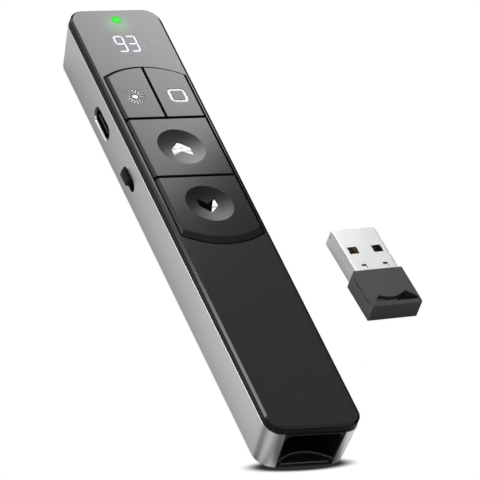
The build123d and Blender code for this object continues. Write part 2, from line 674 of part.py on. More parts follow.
COVER_WIDTH = WIDTH - 2 * COVER_STEP
COVER_LENGTH = LENGTH - 2 * COVER_STEP
COVER_CORNER = CORNER - COVER_STEP
LIP_X = HALF_WIDTH - FRAME_WALL - FIT - LIP_THICKNESS / 2 - 0.1
LIP_NEAR = (-HALF_LENGTH + 6.0, WINDOW_NEAR - 4.0)
LIP_FAR = (WINDOW_FAR + 3.0, HALF_LENGTH - 8.0)
with BuildPart() as top_cover:
    with BuildSketch(Plane.XY.offset(FRAME_HEIGHT)):
        RectangleRounded(COVER_WIDTH, COVER_LENGTH, COVER_CORNER)
    extrude(amount=COVER_RISE)
    chamfer(top_cover.edges().group_by(Axis.Z)[-1], COVER_CHAMFER)
    with BuildSketch(Plane.XY.offset(FRAME_HEIGHT)):
        RectangleRounded(
            COVER_WIDTH - 2 * COVER_WALL, COVER_LENGTH - 2 * COVER_WALL, COVER_CORNER - COVER_WALL
        )
    extrude(amount=COVER_RISE - COVER_PLATE, mode=Mode.SUBTRACT)
    # Lips that locate the cover inside the frame
    with BuildSketch(Plane.XY.offset(FRAME_HEIGHT - LIP_DEPTH)):
        for near, far in (LIP_NEAR, LIP_FAR):
            with Locations((-LIP_X, (near + far) / 2), (LIP_X, (near + far) / 2)):
                Rectangle(LIP_THICKNESS, far - near)
    extrude(amount=LIP_DEPTH + COVER_RISE - COVER_PLATE)
    # Bosses with pilot holes for the screws
    with BuildSketch(Plane.XY.offset(BOARD_TOP)):
        with Locations(*SCREW_PLACES):
            Circle(POST_RADIUS)
    extrude(amount=PLATE_UNDER - BOARD_TOP)
    with BuildSketch(Plane.XY.offset(BOARD_TOP)):
        with Locations(*SCREW_PLACES):
            Circle(SCREW_RADIUS + RUNNING_FIT / 2)
    extrude(amount=PLATE_UNDER - BOARD_TOP - 0.4, mode=Mode.SUBTRACT)
    # Key window, and pockets in the wall for the keys' tabs
    with BuildSketch(Plane.XY.offset(PLATE_UNDER)):
        window_outline(0, 0, 0)
    extrude(amount=COVER_PLATE, mode=Mode.SUBTRACT)
    with BuildSketch(Plane.XY.offset(FRAME_HEIGHT)):
        for tab_y in (TOP_ROW_Y, UP_Y, DOWN_Y):
            side_tab(-1, tab_y, FIT)
            side_tab(1, tab_y, FIT)
    extrude(amount=PLATE_UNDER - FRAME_HEIGHT, mode=Mode.SUBTRACT)
    # Display pocket, the digits' windows and the light's hole
    with BuildSketch(Plane.XY.offset(PLATE_UNDER)):
        with Locations((DISPLAY_X, DISPLAY_Y)):
            Rectangle(DISPLAY_WIDTH + 4 * FIT, DISPLAY_DEPTH + 4 * FIT)
    extrude(amount=COVER_PLATE - COVER_SKIN, mode=Mode.SUBTRACT)
    with BuildSketch(Plane.XY.offset(COVER_TOP - COVER_SKIN)):
        digits_outline()
        percent_outline()
    extrude(amount=COVER_SKIN, mode=Mode.SUBTRACT)
    with BuildSketch(Plane.XY.offset(PLATE_UNDER)):
        with Locations((0, LIGHT_Y)):
            Circle(LIGHT_RADIUS + RUNNING_FIT / 2)
    extrude(amount=COVER_PLATE, mode=Mode.SUBTRACT)

# ---- Display: the clear bars in the cover, and the lamp module under them --------------------
with BuildPart() as display_segments:
    with BuildSketch(Plane.XY.offset(COVER_TOP - COVER_SKIN)):
        digits_outline()
    extrude(amount=COVER_SKIN)

with BuildPart() as percent_mark:
    with BuildSketch(Plane.XY.offset(COVER_TOP - COVER_SKIN)):
        percent_outline()
    extrude(amount=COVER_SKIN)

with BuildPart() as display_module:
    with BuildSketch(Plane.XY.offset(BOARD_TOP)):
        with Locations((DISPLAY_X, DISPLAY_Y)):
            Rectangle(DISPLAY_WIDTH, DISPLAY_DEPTH)
    extrude(amount=COVER_TOP - COVER_SKIN - RUNNING_FIT - BOARD_TOP)
    chamfer(display_module.edges().group_by(Axis.Z)[-1], 2 * FIT)

with BuildPart() as status_led:
    with BuildSketch(Plane.XY.offset(BOARD_TOP)):
        with Locations((0, LIGHT_Y)):
            Rectangle(LED_SIZE, LED_SIZE / 2)
    extrude(amount=LED_HEIGHT)

with BuildPart() as status_light_pipe:
    with BuildSketch(Plane.XY.offset(BOARD_TOP + LED_HEIGHT + RUNNING_FIT)):
        with Locations((0, LIGHT_Y)):
            Circle(LIGHT_RADIUS)
    extrude(amount=COVER_TOP - BOARD_TOP - LED_HEIGHT - RUNNING_FIT)
    with BuildSketch(Plane.XY.offset(PLATE_UNDER - LIGHT_FLANGE_THICKNESS)):
        with Locations((0, LIGHT_Y)):
            Circle(LIGHT_FLANGE)
    extrude(amount=LIGHT_FLANGE_THICKNESS)

# ---- Circuit board with its push switches and parts --------------------------------------------
BOARD_NEAR = WINDOW_NEAR - KEY_SCREWS - BOARD_MARGIN
BOARD_MID = (BOARD_FAR + BOARD_NEAR) / 2
KEY_PLACES = {
    "laser": (-SMALL_KEY_X, TOP_ROW_Y),
    "screen": (SMALL_KEY_X, TOP_ROW_Y),
    "up": (0, UP_Y),
    "down": (0, DOWN_Y),
}
with BuildPart() as main_board:
    with BuildSketch(Plane.XY.offset(BOARD_UNDER)):
        with Locations((0, BOARD_MID)):
            RectangleRounded(WIDTH - 2 * BOARD_EDGE, BOARD_FAR - BOARD_NEAR, BOARD_CORNER)
        with Locations(*BOARD_PLACES):
            Circle(POST_BORE, mode=Mode.SUBTRACT)
    extrude(amount=BOARD_THICKNESS)

with BuildPart() as switch_bodies:
    with BuildSketch(Plane.XY.offset(BOARD_TOP)):
        with Locations(*KEY_PLACES.values()):
            RectangleRounded(SWITCH_SIZE, SWITCH_SIZE, SWITCH_CORNER)
    extrude(amount=SWITCH_HEIGHT)
    bore = PLUNGER_DEPTH + KEY_TRAVEL + RUNNING_FIT
    with BuildSketch(Plane.XY.offset(BOARD_TOP + SWITCH_HEIGHT - bore)):
        with Locations(*KEY_PLACES.values()):
            Circle(PLUNGER_RADIUS + RUNNING_FIT)
    extrude(amount=bore, mode=Mode.SUBTRACT)


def plunger(name):
    """The round plunger that stands in a switch under the named key."""
    with BuildSketch(Plane.XY.offset(BOARD_TOP + SWITCH_HEIGHT - PLUNGER_DEPTH)) as outline:
        with Locations(KEY_PLACES[name]):
            Circle(PLUNGER_RADIUS)
    extrude(outline.sketch, amount=PLUNGER_DEPTH + PLUNGER_RISE)


with BuildPart() as laser_plunger:
    plunger("laser")

with BuildPart() as screen_plunger:
    plunger("screen")

with BuildPart() as up_plunger:
    plunger("up")

with BuildPart() as down_plunger:
    plunger("down")

with BuildPart() as controller_chip:
    with BuildSketch(Plane.XY.offset(BOARD_UNDER)):
        with Locations((3.0, UP_Y - 4.0)):
            Rectangle(CHIP_SIZE, CHIP_SIZE)
    extrude(amount=-CHIP_HEIGHT)

with BuildPart() as crystal_can:
    with BuildSketch(Plane.XY.offset(BOARD_UNDER)):
        with Locations((3.0, UP_Y + 1.5)):
            RectangleRounded(CRYSTAL_LENGTH, CRYSTAL_WIDTH, 0.3)
    extrude(amount=-CRYSTAL_HEIGHT)

with BuildPart() as board_components:
    with BuildSketch(Plane.XY.offset(BOARD_UNDER)):
        with Locations(
            (7.6, UP_Y - 5.0),
            (7.6, UP_Y - 2.5),
            (7.6, UP_Y),
            (-1.8, UP_Y - 4.0),
            (-1.8, UP_Y - 1.5),
            (2.0, PORT_Y - 3.0),
            (2.0, PORT_Y),
            (2.0, PORT_Y + 3.0),
        ):
            Rectangle(SMALL_PART_LENGTH, SMALL_PART_WIDTH)
    extrude(amount=-SMALL_PART_HEIGHT)

# ---- Charging port: a metal shell with the contact tongue ---------------------------------------
PORT_MOUTH = -HALF_WIDTH + PORT_SUNK
with BuildPart() as usb_c_shell:
    with BuildSketch(Plane.YZ.offset(PORT_MOUTH)):
        with Locations((PORT_Y, PORT_Z)):
            SlotOverall(PORT_WIDTH, PORT_HEIGHT)
            SlotOverall(
                PORT_WIDTH - 2 * PORT_WALL, PORT_HEIGHT - 2 * PORT_WALL, mode=Mode.SUBTRACT
            )
    extrude(amount=PORT_DEPTH)

with BuildPart() as usb_c_tongue:
    with BuildSketch(Plane.YZ.offset(PORT_MOUTH + TONGUE_SUNK)):
        with Locations((PORT_Y, PORT_Z)):
            RectangleRounded(TONGUE_WIDTH, TONGUE_THICKNESS, 0.3)
    extrude(amount=PORT_DEPTH - TONGUE_SUNK)
    with BuildSketch(Plane.YZ.offset(PORT_MOUTH + PORT_DEPTH - TONGUE_BASE)):
        with Locations((PORT_Y, PORT_Z)):
            SlotOverall(PORT_WIDTH - 2 * PORT_WALL, PORT_HEIGHT - 2 * PORT_WALL)
    extrude(amount=TONGUE_BASE)

# ---- Power switch: a slide switch whose knob stands through the frame's slot --------------------
POWER_FACE = -HALF_WIDTH + POWER_BODY_SUNK
KNOB_Y = POWER_Y + POWER_SLOT_LENGTH / 2 - KNOB_FROM_FAR - KNOB_LENGTH / 2
with BuildPart() as power_switch_body:
    with BuildSketch(Plane.YZ.offset(POWER_FACE)):
        with Locations((POWER_Y, POWER_Z)):
            Rectangle(POWER_BODY_LENGTH, 2 * (BOARD_UNDER - POWER_Z))
    extrude(amount=POWER_BODY_DEPTH)
    with BuildSketch(Plane.YZ.offset(POWER_FACE)):
        with Locations((KNOB_Y - POWER_TRAVEL / 2, POWER_Z)):
            Rectangle(SLIDE_LENGTH + POWER_TRAVEL + 2 * FIT, KNOB_HEIGHT + 0.2 + 2 * FIT)
    extrude(amount=SLIDE_THICKNESS + 4 * FIT, mode=Mode.SUBTRACT)

with BuildPart() as power_slider:
    with BuildSketch(Plane.YZ.offset(POWER_FACE + 2 * FIT)):
        with Locations((KNOB_Y, POWER_Z)):
            Rectangle(SLIDE_LENGTH, KNOB_HEIGHT + 0.2)
    extrude(amount=SLIDE_THICKNESS)
    with BuildSketch(Plane.YZ.offset(-HALF_WIDTH - KNOB_REACH + 0.4)):
        with Locations((KNOB_Y, POWER_Z)):
            RectangleRounded(KNOB_LENGTH, KNOB_HEIGHT, KNOB_ROUND)
    extrude(amount=POWER_BODY_SUNK + KNOB_REACH + FIT)
    fillet(power_slider.faces().sort_by(Axis.X)[0].edges(), KNOB_ROUND * 0.8)

# ---- Laser end: insert, window and the laser module ---------------------------------------------
NOSE_FACE = HALF_LENGTH - NOSE_DEPTH
with BuildPart() as nose_insert:
    bevelled_block()
    with BuildSketch(across(HALF_LENGTH + 1)):
        end_outline(-1, FRAME_HEIGHT + 1, FIT / 2)
    extrude(amount=NOSE_DEPTH + 1, mode=Mode.INTERSECT)
    leaning_block(FRAME_WALL + FIT)
    with BuildSketch(across(HALF_LENGTH + 1)):
        Rectangle(2 * WIDTH, 4 * FRAME_HEIGHT)
    extrude(amount=NOSE_DEPTH + 1, mode=Mode.INTERSECT)
    # The upper part is open for the end of the board and its light
    with BuildSketch(Plane.XY.offset(NOSE_STEP)):
        with Locations((0, HALF_LENGTH - NOSE_WALL - NOSE_DEPTH / 2)):
            Rectangle(2 * WIDTH, NOSE_DEPTH)
    extrude(amount=FRAME_HEIGHT, mode=Mode.SUBTRACT)
    # Aperture, with seats for the glass and the barrel
    with BuildSketch(across(HALF_LENGTH + 1)):
        with Locations((0, LASER_Z)):
            Circle(LASER_APERTURE)
    extrude(amount=NOSE_DEPTH + 2, mode=Mode.SUBTRACT)
    with BuildSketch(across(NOSE_FACE + SOCKET_DEPTH + GLASS_THICKNESS)):
        with Locations((0, LASER_Z)):
            Circle(GLASS_RADIUS + RUNNING_FIT)
    extrude(amount=SOCKET_DEPTH + GLASS_THICKNESS, mode=Mode.SUBTRACT)
    with BuildSketch(across(NOSE_FACE + SOCKET_DEPTH)):
        with Locations((0, LASER_Z)):
            Circle(BARREL_RADIUS + RUNNING_FIT)
    extrude(amount=SOCKET_DEPTH, mode=Mode.SUBTRACT)

with BuildPart() as laser_window:
    with BuildSketch(across(NOSE_FACE + SOCKET_DEPTH + GLASS_THICKNESS)):
        with Locations((0, LASER_Z)):
            Circle(GLASS_RADIUS)
    extrude(amount=GLASS_THICKNESS)

BARREL_FRONT = NOSE_FACE + SOCKET_DEPTH
with BuildPart() as laser_barrel:
    with BuildSketch(across(BARREL_FRONT)):
        with Locations((0, LASER_Z)):
            Circle(BARREL_RADIUS)
            Circle(BARREL_BORE, mode=Mode.SUBTRACT)
    extrude(amount=BARREL_LENGTH)

with BuildPart() as laser_lens:
    with BuildSketch(across(BARREL_FRONT)):
        with Locations((0, LASER_Z)):
            Circle(BARREL_BORE)
    extrude(amount=LENS_THICKNESS)

with BuildPart() as laser_diode:
    with BuildSketch(across(BARREL_FRONT - BARREL_LENGTH + DIODE_LENGTH)):
        with Locations((0, LASER_Z)):
            Circle(BARREL_BORE)
    extrude(amount=DIODE_LENGTH)
    with BuildSketch(across(BARREL_FRONT - BARREL_LENGTH)):
        with Locations((-1, LASER_Z), (0, LASER_Z), (1, LASER_Z)):
            Circle(PIN_RADIUS)
    extrude(amount=PIN_LENGTH)

# ---- Receiver bay: black insert in the near end, a tube with a thumb scoop in its floor ----------
BAY_BLOCK = -HALF_LENGTH + FRAME_WALL + FIT / 2
with BuildPart() as receiver_bay:
    bevelled_block()
    with BuildSketch(across(BAY_BLOCK)):
        end_outline(-1, FRAME_HEIGHT + 1, FIT / 2)
    extrude(amount=2 * FRAME_WALL, mode=Mode.INTERSECT)
    with BuildSketch(across(BAY_BACK)):
        end_outline(BACK_THICKNESS + FIT / 2, BAY_CEILING + BAY_WALL, BAY_SIDE - BAY_WALL)
    extrude(amount=BAY_DEPTH + BAY_END - FRAME_WALL - FIT / 2)
    with BuildSketch(across(-HALF_LENGTH + BAY_DEPTH)) as opening:
        end_outline(BAY_FLOOR, BAY_CEILING, BAY_SIDE)
        fillet(opening.vertices().group_by(Axis.Y)[-1], BAY_ROUND)
    extrude(amount=BAY_DEPTH + 1, mode=Mode.SUBTRACT)
    with BuildSketch(across(-HALF_LENGTH + MOUTH_BEVEL)) as throat:
        end_outline(BAY_FLOOR, BAY_CEILING, BAY_SIDE)
        fillet(throat.vertices().group_by(Axis.Y)[-1], BAY_ROUND)
    with BuildSketch(across(-HALF_LENGTH)) as mouth:
        end_outline(BAY_FLOOR - MOUTH_BEVEL, BAY_CEILING + MOUTH_BEVEL, BAY_SIDE - MOUTH_BEVEL)
        fillet(mouth.vertices().group_by(Axis.Y)[-1], BAY_ROUND)
    loft([throat.sketch, mouth.sketch], ruled=True, mode=Mode.SUBTRACT)
    with BuildSketch(Plane.XY.offset(SCOOP_FLOOR)):
        with Locations((0, -HALF_LENGTH + SCOOP_DEPTH - SCOOP_RADIUS)):
            Circle(SCOOP_RADIUS)
        Rectangle(2 * (end_gap_half(0) - 2 * BAY_SIDE), 2 * LENGTH, mode=Mode.INTERSECT)
    extrude(amount=BAY_FLOOR - SCOOP_FLOOR + MOUTH_BEVEL, mode=Mode.SUBTRACT)
    with BuildSketch(Plane.XY.offset(BAY_FLOOR - MOUTH_BEVEL)) as scoop:
        with Locations((0, -HALF_LENGTH + SCOOP_DEPTH - SCOOP_RADIUS)):
            Circle(SCOOP_RADIUS)
    with BuildSketch(Plane.XY.offset(BAY_FLOOR)) as scoop_rim:
        with Locations((0, -HALF_LENGTH + SCOOP_DEPTH - SCOOP_RADIUS)):
            Circle(SCOOP_RADIUS + MOUTH_BEVEL)
    loft([scoop.sketch, scoop_rim.sketch], ruled=True, mode=Mode.SUBTRACT)
    scoop_edges = receiver_bay.edges().filter_by_position(Axis.Z, SCOOP_FLOOR, SCOOP_FLOOR)
    chamfer(scoop_edges.filter_by_position(Axis.Y, -HALF_LENGTH, -HALF_LENGTH), MOUTH_BEVEL)
    with BuildSketch(across(BAY_BACK)):
        with Locations((0, (BAY_FLOOR + BAY_CEILING) / 2)):
            Rectangle(MAGNET_WIDTH + FIT, MAGNET_HEIGHT + FIT)
    extrude(amount=MAGNET_THICKNESS, mode=Mode.SUBTRACT)

with BuildPart() as receiver_magnet:
    with BuildSketch(across(BAY_BACK)):
        with Locations((0, (BAY_FLOOR + BAY_CEILING) / 2)):
            Rectangle(MAGNET_WIDTH, MAGNET_HEIGHT)
    extrude(amount=MAGNET_THICKNESS)

# ---- Battery, its adhesive pad, its socket and its leads ------------------------------------------
BATTERY_WIDTH = 2 * (SCREW_X - POST_RADIUS - BATTERY_MARGIN)
BATTERY_NEAR = BAY_BACK + BATTERY_FROM_BAY
SOCKET_NEAR = BOARD_NEAR + SOCKET_FROM_EDGE
BATTERY_FAR = SOCKET_NEAR - LEAD_LENGTH
BATTERY_MID = (BATTERY_NEAR + BATTERY_FAR) / 2
BATTERY_FOOT = BACK_THICKNESS + PAD_THICKNESS
LEAD_Z = BOARD_UNDER - SOCKET_HEIGHT / 2
with BuildPart() as battery_pad:
    with BuildSketch(Plane.XY.offset(BACK_THICKNESS)):
        with Locations((0, BATTERY_MID)):
            Rectangle(BATTERY_WIDTH - 2 * PAD_MARGIN, BATTERY_FAR - BATTERY_NEAR - 2 * PAD_MARGIN)
    extrude(amount=PAD_THICKNESS)

with BuildPart() as battery:
    with BuildSketch(Plane.XY.offset(BATTERY_FOOT)):
        with Locations((0, BATTERY_MID)):
            RectangleRounded(BATTERY_WIDTH, BATTERY_FAR - BATTERY_NEAR, BATTERY_ROUND)
    extrude(amount=BATTERY_THICKNESS)
    fillet(battery.faces().sort_by(Axis.Z)[-1].edges(), BATTERY_ROUND / 2)

with BuildPart() as battery_socket:
    with BuildSketch(Plane.XY.offset(BOARD_UNDER)):
        with Locations((0, SOCKET_NEAR + SOCKET_LENGTH / 2)):
            Rectangle(SOCKET_WIDTH, SOCKET_LENGTH)
    extrude(amount=-SOCKET_HEIGHT)


def lead(x):
    """One short insulated wire from the cell to its socket."""
    with BuildSketch(across(SOCKET_NEAR)) as wire:
        with Locations((x, LEAD_Z)):
            Circle(LEAD_RADIUS)
    extrude(wire.sketch, amount=SOCKET_NEAR - BATTERY_FAR)


with BuildPart() as battery_lead_red:
    lead(LEAD_SPACING / 2)

with BuildPart() as battery_lead_black:
    lead(-LEAD_SPACING / 2)

# ---- Receiver: a USB-A plug in a short black cap, turned a little on the table -----------------------
TURN_X, TURN_Y = cos(radians(DONGLE_TURN)), sin(radians(DONGLE_TURN))
PLACE = Plane(origin=(DONGLE_X, DONGLE_Y, 0), x_dir=(TURN_X, TURN_Y, 0), z_dir=(0, 0, 1))
PLUG_TOP = PLUG_LIFT + PLUG_THICKNESS
INSULATOR_FOOT = PLUG_LIFT + PLUG_WALL
INSULATOR_TOP = INSULATOR_FOOT + INSULATOR_THICKNESS


def slab(near, far, width, low, high, mode=Mode.ADD):
    """A block of the receiver between two lengths and two heights, centred on its axis."""
    with BuildSketch(PLACE.offset(low)) as outline:
        with Locations((0, (near + far) / 2)):
            Rectangle(width, far - near)
    extrude(outline.sketch, amount=high - low, mode=mode)


with BuildPart() as dongle_shell:
    slab(-PLUG_HELD, PLUG_REACH, PLUG_WIDTH, PLUG_LIFT, PLUG_TOP)
    long_edges = dongle_shell.edges().sort_by(SortBy.LENGTH)[-4:]
    fillet(long_edges, 0.5)
    slab(
        -PLUG_HELD,
        PLUG_REACH,
        PLUG_WIDTH - 2 * PLUG_WALL,
        PLUG_LIFT + PLUG_WALL,
        PLUG_TOP - PLUG_WALL,
        Mode.SUBTRACT,
    )
    # Latch holes through both faces
    with BuildSketch(PLACE):
        with Locations((-HOLE_SPACING / 2, HOLE_FROM_CAP), (HOLE_SPACING / 2, HOLE_FROM_CAP)):
            Rectangle(HOLE_WIDTH, HOLE_LENGTH)
    extrude(amount=PLUG_TOP + 1, mode=Mode.SUBTRACT)
    # Pressed tabs beside the cap: an L-shaped slit round each
    slit_places = [SLIT_SHIFT + side * SLIT_SPACING / 2 for side in (-1, 1)]
    with BuildSketch(PLACE.offset(PLUG_TOP - 1)):
        with Locations(*[(x, SLIT_FROM_CAP) for x in slit_places]):
            Rectangle(SLIT_WIDTH, SLIT_CUT)
            with Locations((SLIT_WIDTH / 2, SLIT_CUT / 2 - SLIT_LENGTH / 2)):
                Rectangle(SLIT_CUT / 2, SLIT_LENGTH)
    extrude(amount=2, mode=Mode.SUBTRACT)
    # Small pin hole in the left side near the mouth
    hole_place = PLACE.from_local_coords((-PLUG_WIDTH / 2 - 1, PLUG_REACH - 1, PIN_HOLE_Z))
    with BuildSketch(Plane(origin=hole_place, z_dir=PLACE.x_dir)):
        Circle(PIN_HOLE)
    extrude(amount=2, mode=Mode.SUBTRACT)

with BuildPart() as dongle_tongue:
    tongue_width = PLUG_WIDTH - 2 * PLUG_WALL - FIT
    slab(-TONGUE_ROOT, PLUG_REACH - 0.4, tongue_width, INSULATOR_FOOT, INSULATOR_TOP)

with BuildPart() as dongle_contacts:
    contact_y = PLUG_REACH - CONTACT_SUNK - CONTACT_LENGTH / 2
    with BuildSketch(PLACE.offset(INSULATOR_TOP)):
        with Locations(*[(x, contact_y) for x in (-3.5, -1.0, 1.0, 3.5)]):
            Rectangle(CONTACT_WIDTH, CONTACT_LENGTH)
    extrude(amount=CONTACT_THICKNESS)

BOARD_END = -TONGUE_ROOT - DONGLE_BOARD_LENGTH
with BuildPart() as dongle_board:
    board_foot = INSULATOR_TOP - DONGLE_BOARD_THICKNESS
    slab(BOARD_END, -TONGUE_ROOT, DONGLE_BOARD_WIDTH, board_foot, INSULATOR_TOP)

with BuildPart() as dongle_chip:
    chip_near = BOARD_END + 4 * FIT
    slab(chip_near, chip_near + DONGLE_CHIP, DONGLE_CHIP, INSULATOR_TOP, INSULATOR_TOP + 0.8)

with BuildPart() as dongle_cap:
    slab(-CAP_LENGTH, 0, CAP_WIDTH, 0, CAP_HEIGHT)
    end_face = dongle_cap.faces().sort_by(Axis.Y)[0]
    chamfer(end_face.edges().sort_by(Axis.Z)[-1], CAP_BEVEL)
    top_edges = dongle_cap.faces().sort_by(Axis.Z)[-1].edges()
    chamfer(top_edges.sort_by(SortBy.LENGTH)[:2], CAP_EDGE)
    # Seat for the plug, and the space for its board
    inner_width = PLUG_WIDTH - 2 * PLUG_WALL
    slab(-PLUG_HELD, 0, PLUG_WIDTH, PLUG_LIFT, PLUG_TOP, Mode.SUBTRACT)
    slab(BOARD_END - FIT, -PLUG_HELD, inner_width, 2 * CAP_WALL, CAP_HEIGHT - CAP_CEILING, Mode.SUBTRACT)
    # A fine groove with two dips along each side
    for side in (-1, 1):
        groove_place = PLACE.from_local_coords((side * CAP_WIDTH / 2, -CAP_LENGTH / 2, CAP_GROOVE_Z))
        with BuildSketch(Plane(origin=groove_place, x_dir=PLACE.y_dir, z_dir=-side * PLACE.x_dir)):
            Rectangle(CAP_GROOVE_LENGTH, CAP_GROOVE)
            with Locations((-CAP_DIP_SPACING / 2, 0), (CAP_DIP_SPACING / 2, 0)):
                Rectangle(CAP_DIP_LENGTH, CAP_DIP)
        extrude(amount=CAP_GROOVE, mode=Mode.SUBTRACT)
    # Fingernail grip: a wave-edged recess, deeper in its right half
    grip_floor = CAP_HEIGHT - GRIP_DEPTH
    near = -CAP_LENGTH + GRIP_NEAR
    reach = CAP_WIDTH / 2 - CAP_WALL
    with BuildSketch(PLACE.offset(grip_floor)):
        with BuildLine():
            ThreePointArc((-reach + 0.5, near), (-4.9, near + 1.2), (-3.6, near + 2.2))
            ThreePointArc((-3.6, near + 2.2), (-0.2, near + 1.45), (3.7, near + 3.0))
            Line((3.7, near + 3.0), (reach, near + 0.8))
            Line((reach, near + 0.8), (reach, near))
            Line((reach, near), (-reach + 0.5, near))
        make_face()
    extrude(amount=2 * GRIP_DEPTH, mode=Mode.SUBTRACT)
    with BuildSketch(PLACE.offset(CAP_HEIGHT - LOOP_DEPTH)):
        with BuildLine():
            Polyline((0.9, near), (0.9, near + 1.6), (3.7, near + 3.0), (reach, near + 0.8), close=False)
            Polyline((reach, near + 0.8), (reach, near), (0.9, near))
        make_face()
    extrude(amount=LOOP_DEPTH, mode=Mode.SUBTRACT)

PIECES = {
    "left_rail": left_rail,
    "right_rail": right_rail,
    "back_cover": back_cover,
    "body_screws": body_screws,
    "top_cover": top_cover,
    "laser_key": laser_key,
    "laser_icon": laser_icon,
    "screen_key": screen_key,
    "screen_icon": screen_icon,
    "page_up_key": page_up_key,
    "up_chevron": up_chevron,
    "page_down_key": page_down_key,
    "down_chevron": down_chevron,
    "display_segments": display_segments,
    "percent_mark": percent_mark,
    "display_module": display_module,
    "status_led": status_led,
    "status_light_pipe": status_light_pipe,
    "main_board": main_board,
    "switch_bodies": switch_bodies,
    "laser_plunger": laser_plunger,
    "screen_plunger": screen_plunger,
    "up_plunger": up_plunger,
    "down_plunger": down_plunger,
    "controller_chip": controller_chip,
    "crystal_can": crystal_can,
    "board_components": board_components,
    "usb_c_shell": usb_c_shell,
    "usb_c_tongue": usb_c_tongue,
    "power_switch_body": power_switch_body,
    "power_slider": power_slider,
    "nose_insert": nose_insert,
    "laser_window": laser_window,
    "laser_barrel": laser_barrel,
    "laser_lens": laser_lens,
    "laser_diode": laser_diode,
    "receiver_bay": receiver_bay,
    "receiver_magnet": receiver_magnet,
    "battery_pad": battery_pad,
    "battery": battery,
    "battery_socket": battery_socket,
    "battery_lead_red": battery_lead_red,
    "battery_lead_black": battery_lead_black,
    "dongle_shell": dongle_shell,
    "dongle_tongue": dongle_tongue,
    "dongle_contacts": dongle_contacts,
    "dongle_board": dongle_board,
    "dongle_chip": dongle_chip,
    "dongle_cap": dongle_cap,
}
for name, piece in PIECES.items():
    piece.part.label = name
    export_step(piece.part, f"parts/{name}.step")
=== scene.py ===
import math

import bmesh
import bpy
from mathutils import Matrix, Vector


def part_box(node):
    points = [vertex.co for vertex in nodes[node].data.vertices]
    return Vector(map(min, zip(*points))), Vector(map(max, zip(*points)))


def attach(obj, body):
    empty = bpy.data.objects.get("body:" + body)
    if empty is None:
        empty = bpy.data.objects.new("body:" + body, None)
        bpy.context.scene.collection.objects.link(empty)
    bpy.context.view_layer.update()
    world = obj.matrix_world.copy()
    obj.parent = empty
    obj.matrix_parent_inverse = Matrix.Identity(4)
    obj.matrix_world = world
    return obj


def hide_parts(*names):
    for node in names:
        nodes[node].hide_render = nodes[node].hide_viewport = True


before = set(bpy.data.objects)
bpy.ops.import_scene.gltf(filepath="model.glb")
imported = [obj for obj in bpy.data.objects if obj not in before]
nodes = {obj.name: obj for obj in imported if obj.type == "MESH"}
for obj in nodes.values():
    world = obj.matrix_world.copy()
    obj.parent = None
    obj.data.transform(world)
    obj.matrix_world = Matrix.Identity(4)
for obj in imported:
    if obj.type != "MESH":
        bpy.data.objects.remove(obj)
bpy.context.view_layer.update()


# ---- Side rails -------------------------------------------------------------------------------
# Two thin aluminium rails, rolled round the corners at both ends and open between them. They are
# brushed along their length and anodised silver; a band along the rim, a little lighter and free of
# brush marks, is a painted highlight.
def ramp(tree, value, low, high, first=0.0, last=1.0, course="LINEAR"):
    """A number in a tree that runs from first to last while value runs from low to high."""
    change = tree.nodes.new("ShaderNodeMapRange")
    change.interpolation_type = course
    for socket, size in (("From Min", low), ("From Max", high), ("To Min", first), ("To Max", last)):
        change.inputs[socket].default_value = size
    tree.links.new(value, change.inputs["Value"])
    return change.outputs["Result"]


def vary_gloss(tree, marks, roughness, spread):
    """Lets marks vary a finish's roughness by the share spread."""
    rough = ramp(tree, marks, 0.0, 1.0, roughness * (1 - spread), roughness * (1 + spread))
    tree.links.new(rough, tree.nodes["Principled BSDF"].inputs["Roughness"])


def mark_surface(tree, marks, colour, contrast, relief, depth):
    """Lets marks vary a finish's colour by the share contrast and raise its surface a little."""
    shader = tree.nodes["Principled BSDF"]
    tone = tree.nodes.new("ShaderNodeMix")
    tone.data_type = "RGBA"
    tone.inputs["A"].default_value = (*[c * (1 - contrast) for c in colour], 1)
    tone.inputs["B"].default_value = (*[min(1.0, c * (1 + contrast)) for c in colour], 1)
    tree.links.new(marks, tone.inputs["Factor"])
    tree.links.new(tone.outputs["Result"], shader.inputs["Base Color"])
    bump = tree.nodes.new("ShaderNodeBump")
    bump.inputs["Strength"].default_value = relief
    bump.inputs["Distance"].default_value = depth
    tree.links.new(marks, bump.inputs["Height"])
    tree.links.new(bump.outputs["Normal"], shader.inputs["Normal"])


def worked_metal(name, colour, roughness, brush, depth):
    """Metal with fine marks; brush gives how close they lie along x, y and z, in marks per metre."""
    finish = bpy.data.materials.new(name)
    finish.use_nodes = True
    tree = finish.node_tree
    tree.nodes["Principled BSDF"].inputs["Metallic"].default_value = 1.0
    place = tree.nodes.new("ShaderNodeTexCoord")
    stretch = tree.nodes.new("ShaderNodeMapping")
    stretch.inputs["Scale"].default_value = brush
    noise = tree.nodes.new("ShaderNodeTexNoise")
    noise.inputs["Scale"].default_value = 1.0
    noise.inputs["Detail"].default_value = 3.0
    tree.links.new(place.outputs["Object"], stretch.inputs["Vector"])
    tree.links.new(stretch.outputs["Vector"], noise.inputs["Vector"])
    marks = noise.outputs["Fac"]
    vary_gloss(tree, marks, roughness, spread=0.15)
    mark_surface(tree, marks, colour, contrast=0.05, relief=0.4, depth=depth)
    return finish


def dress(finish, *names):
    """Gives a finish to pieces that keep their own shape."""
    for name in names:
        for slot in nodes[name].material_slots:
            slot.material = finish


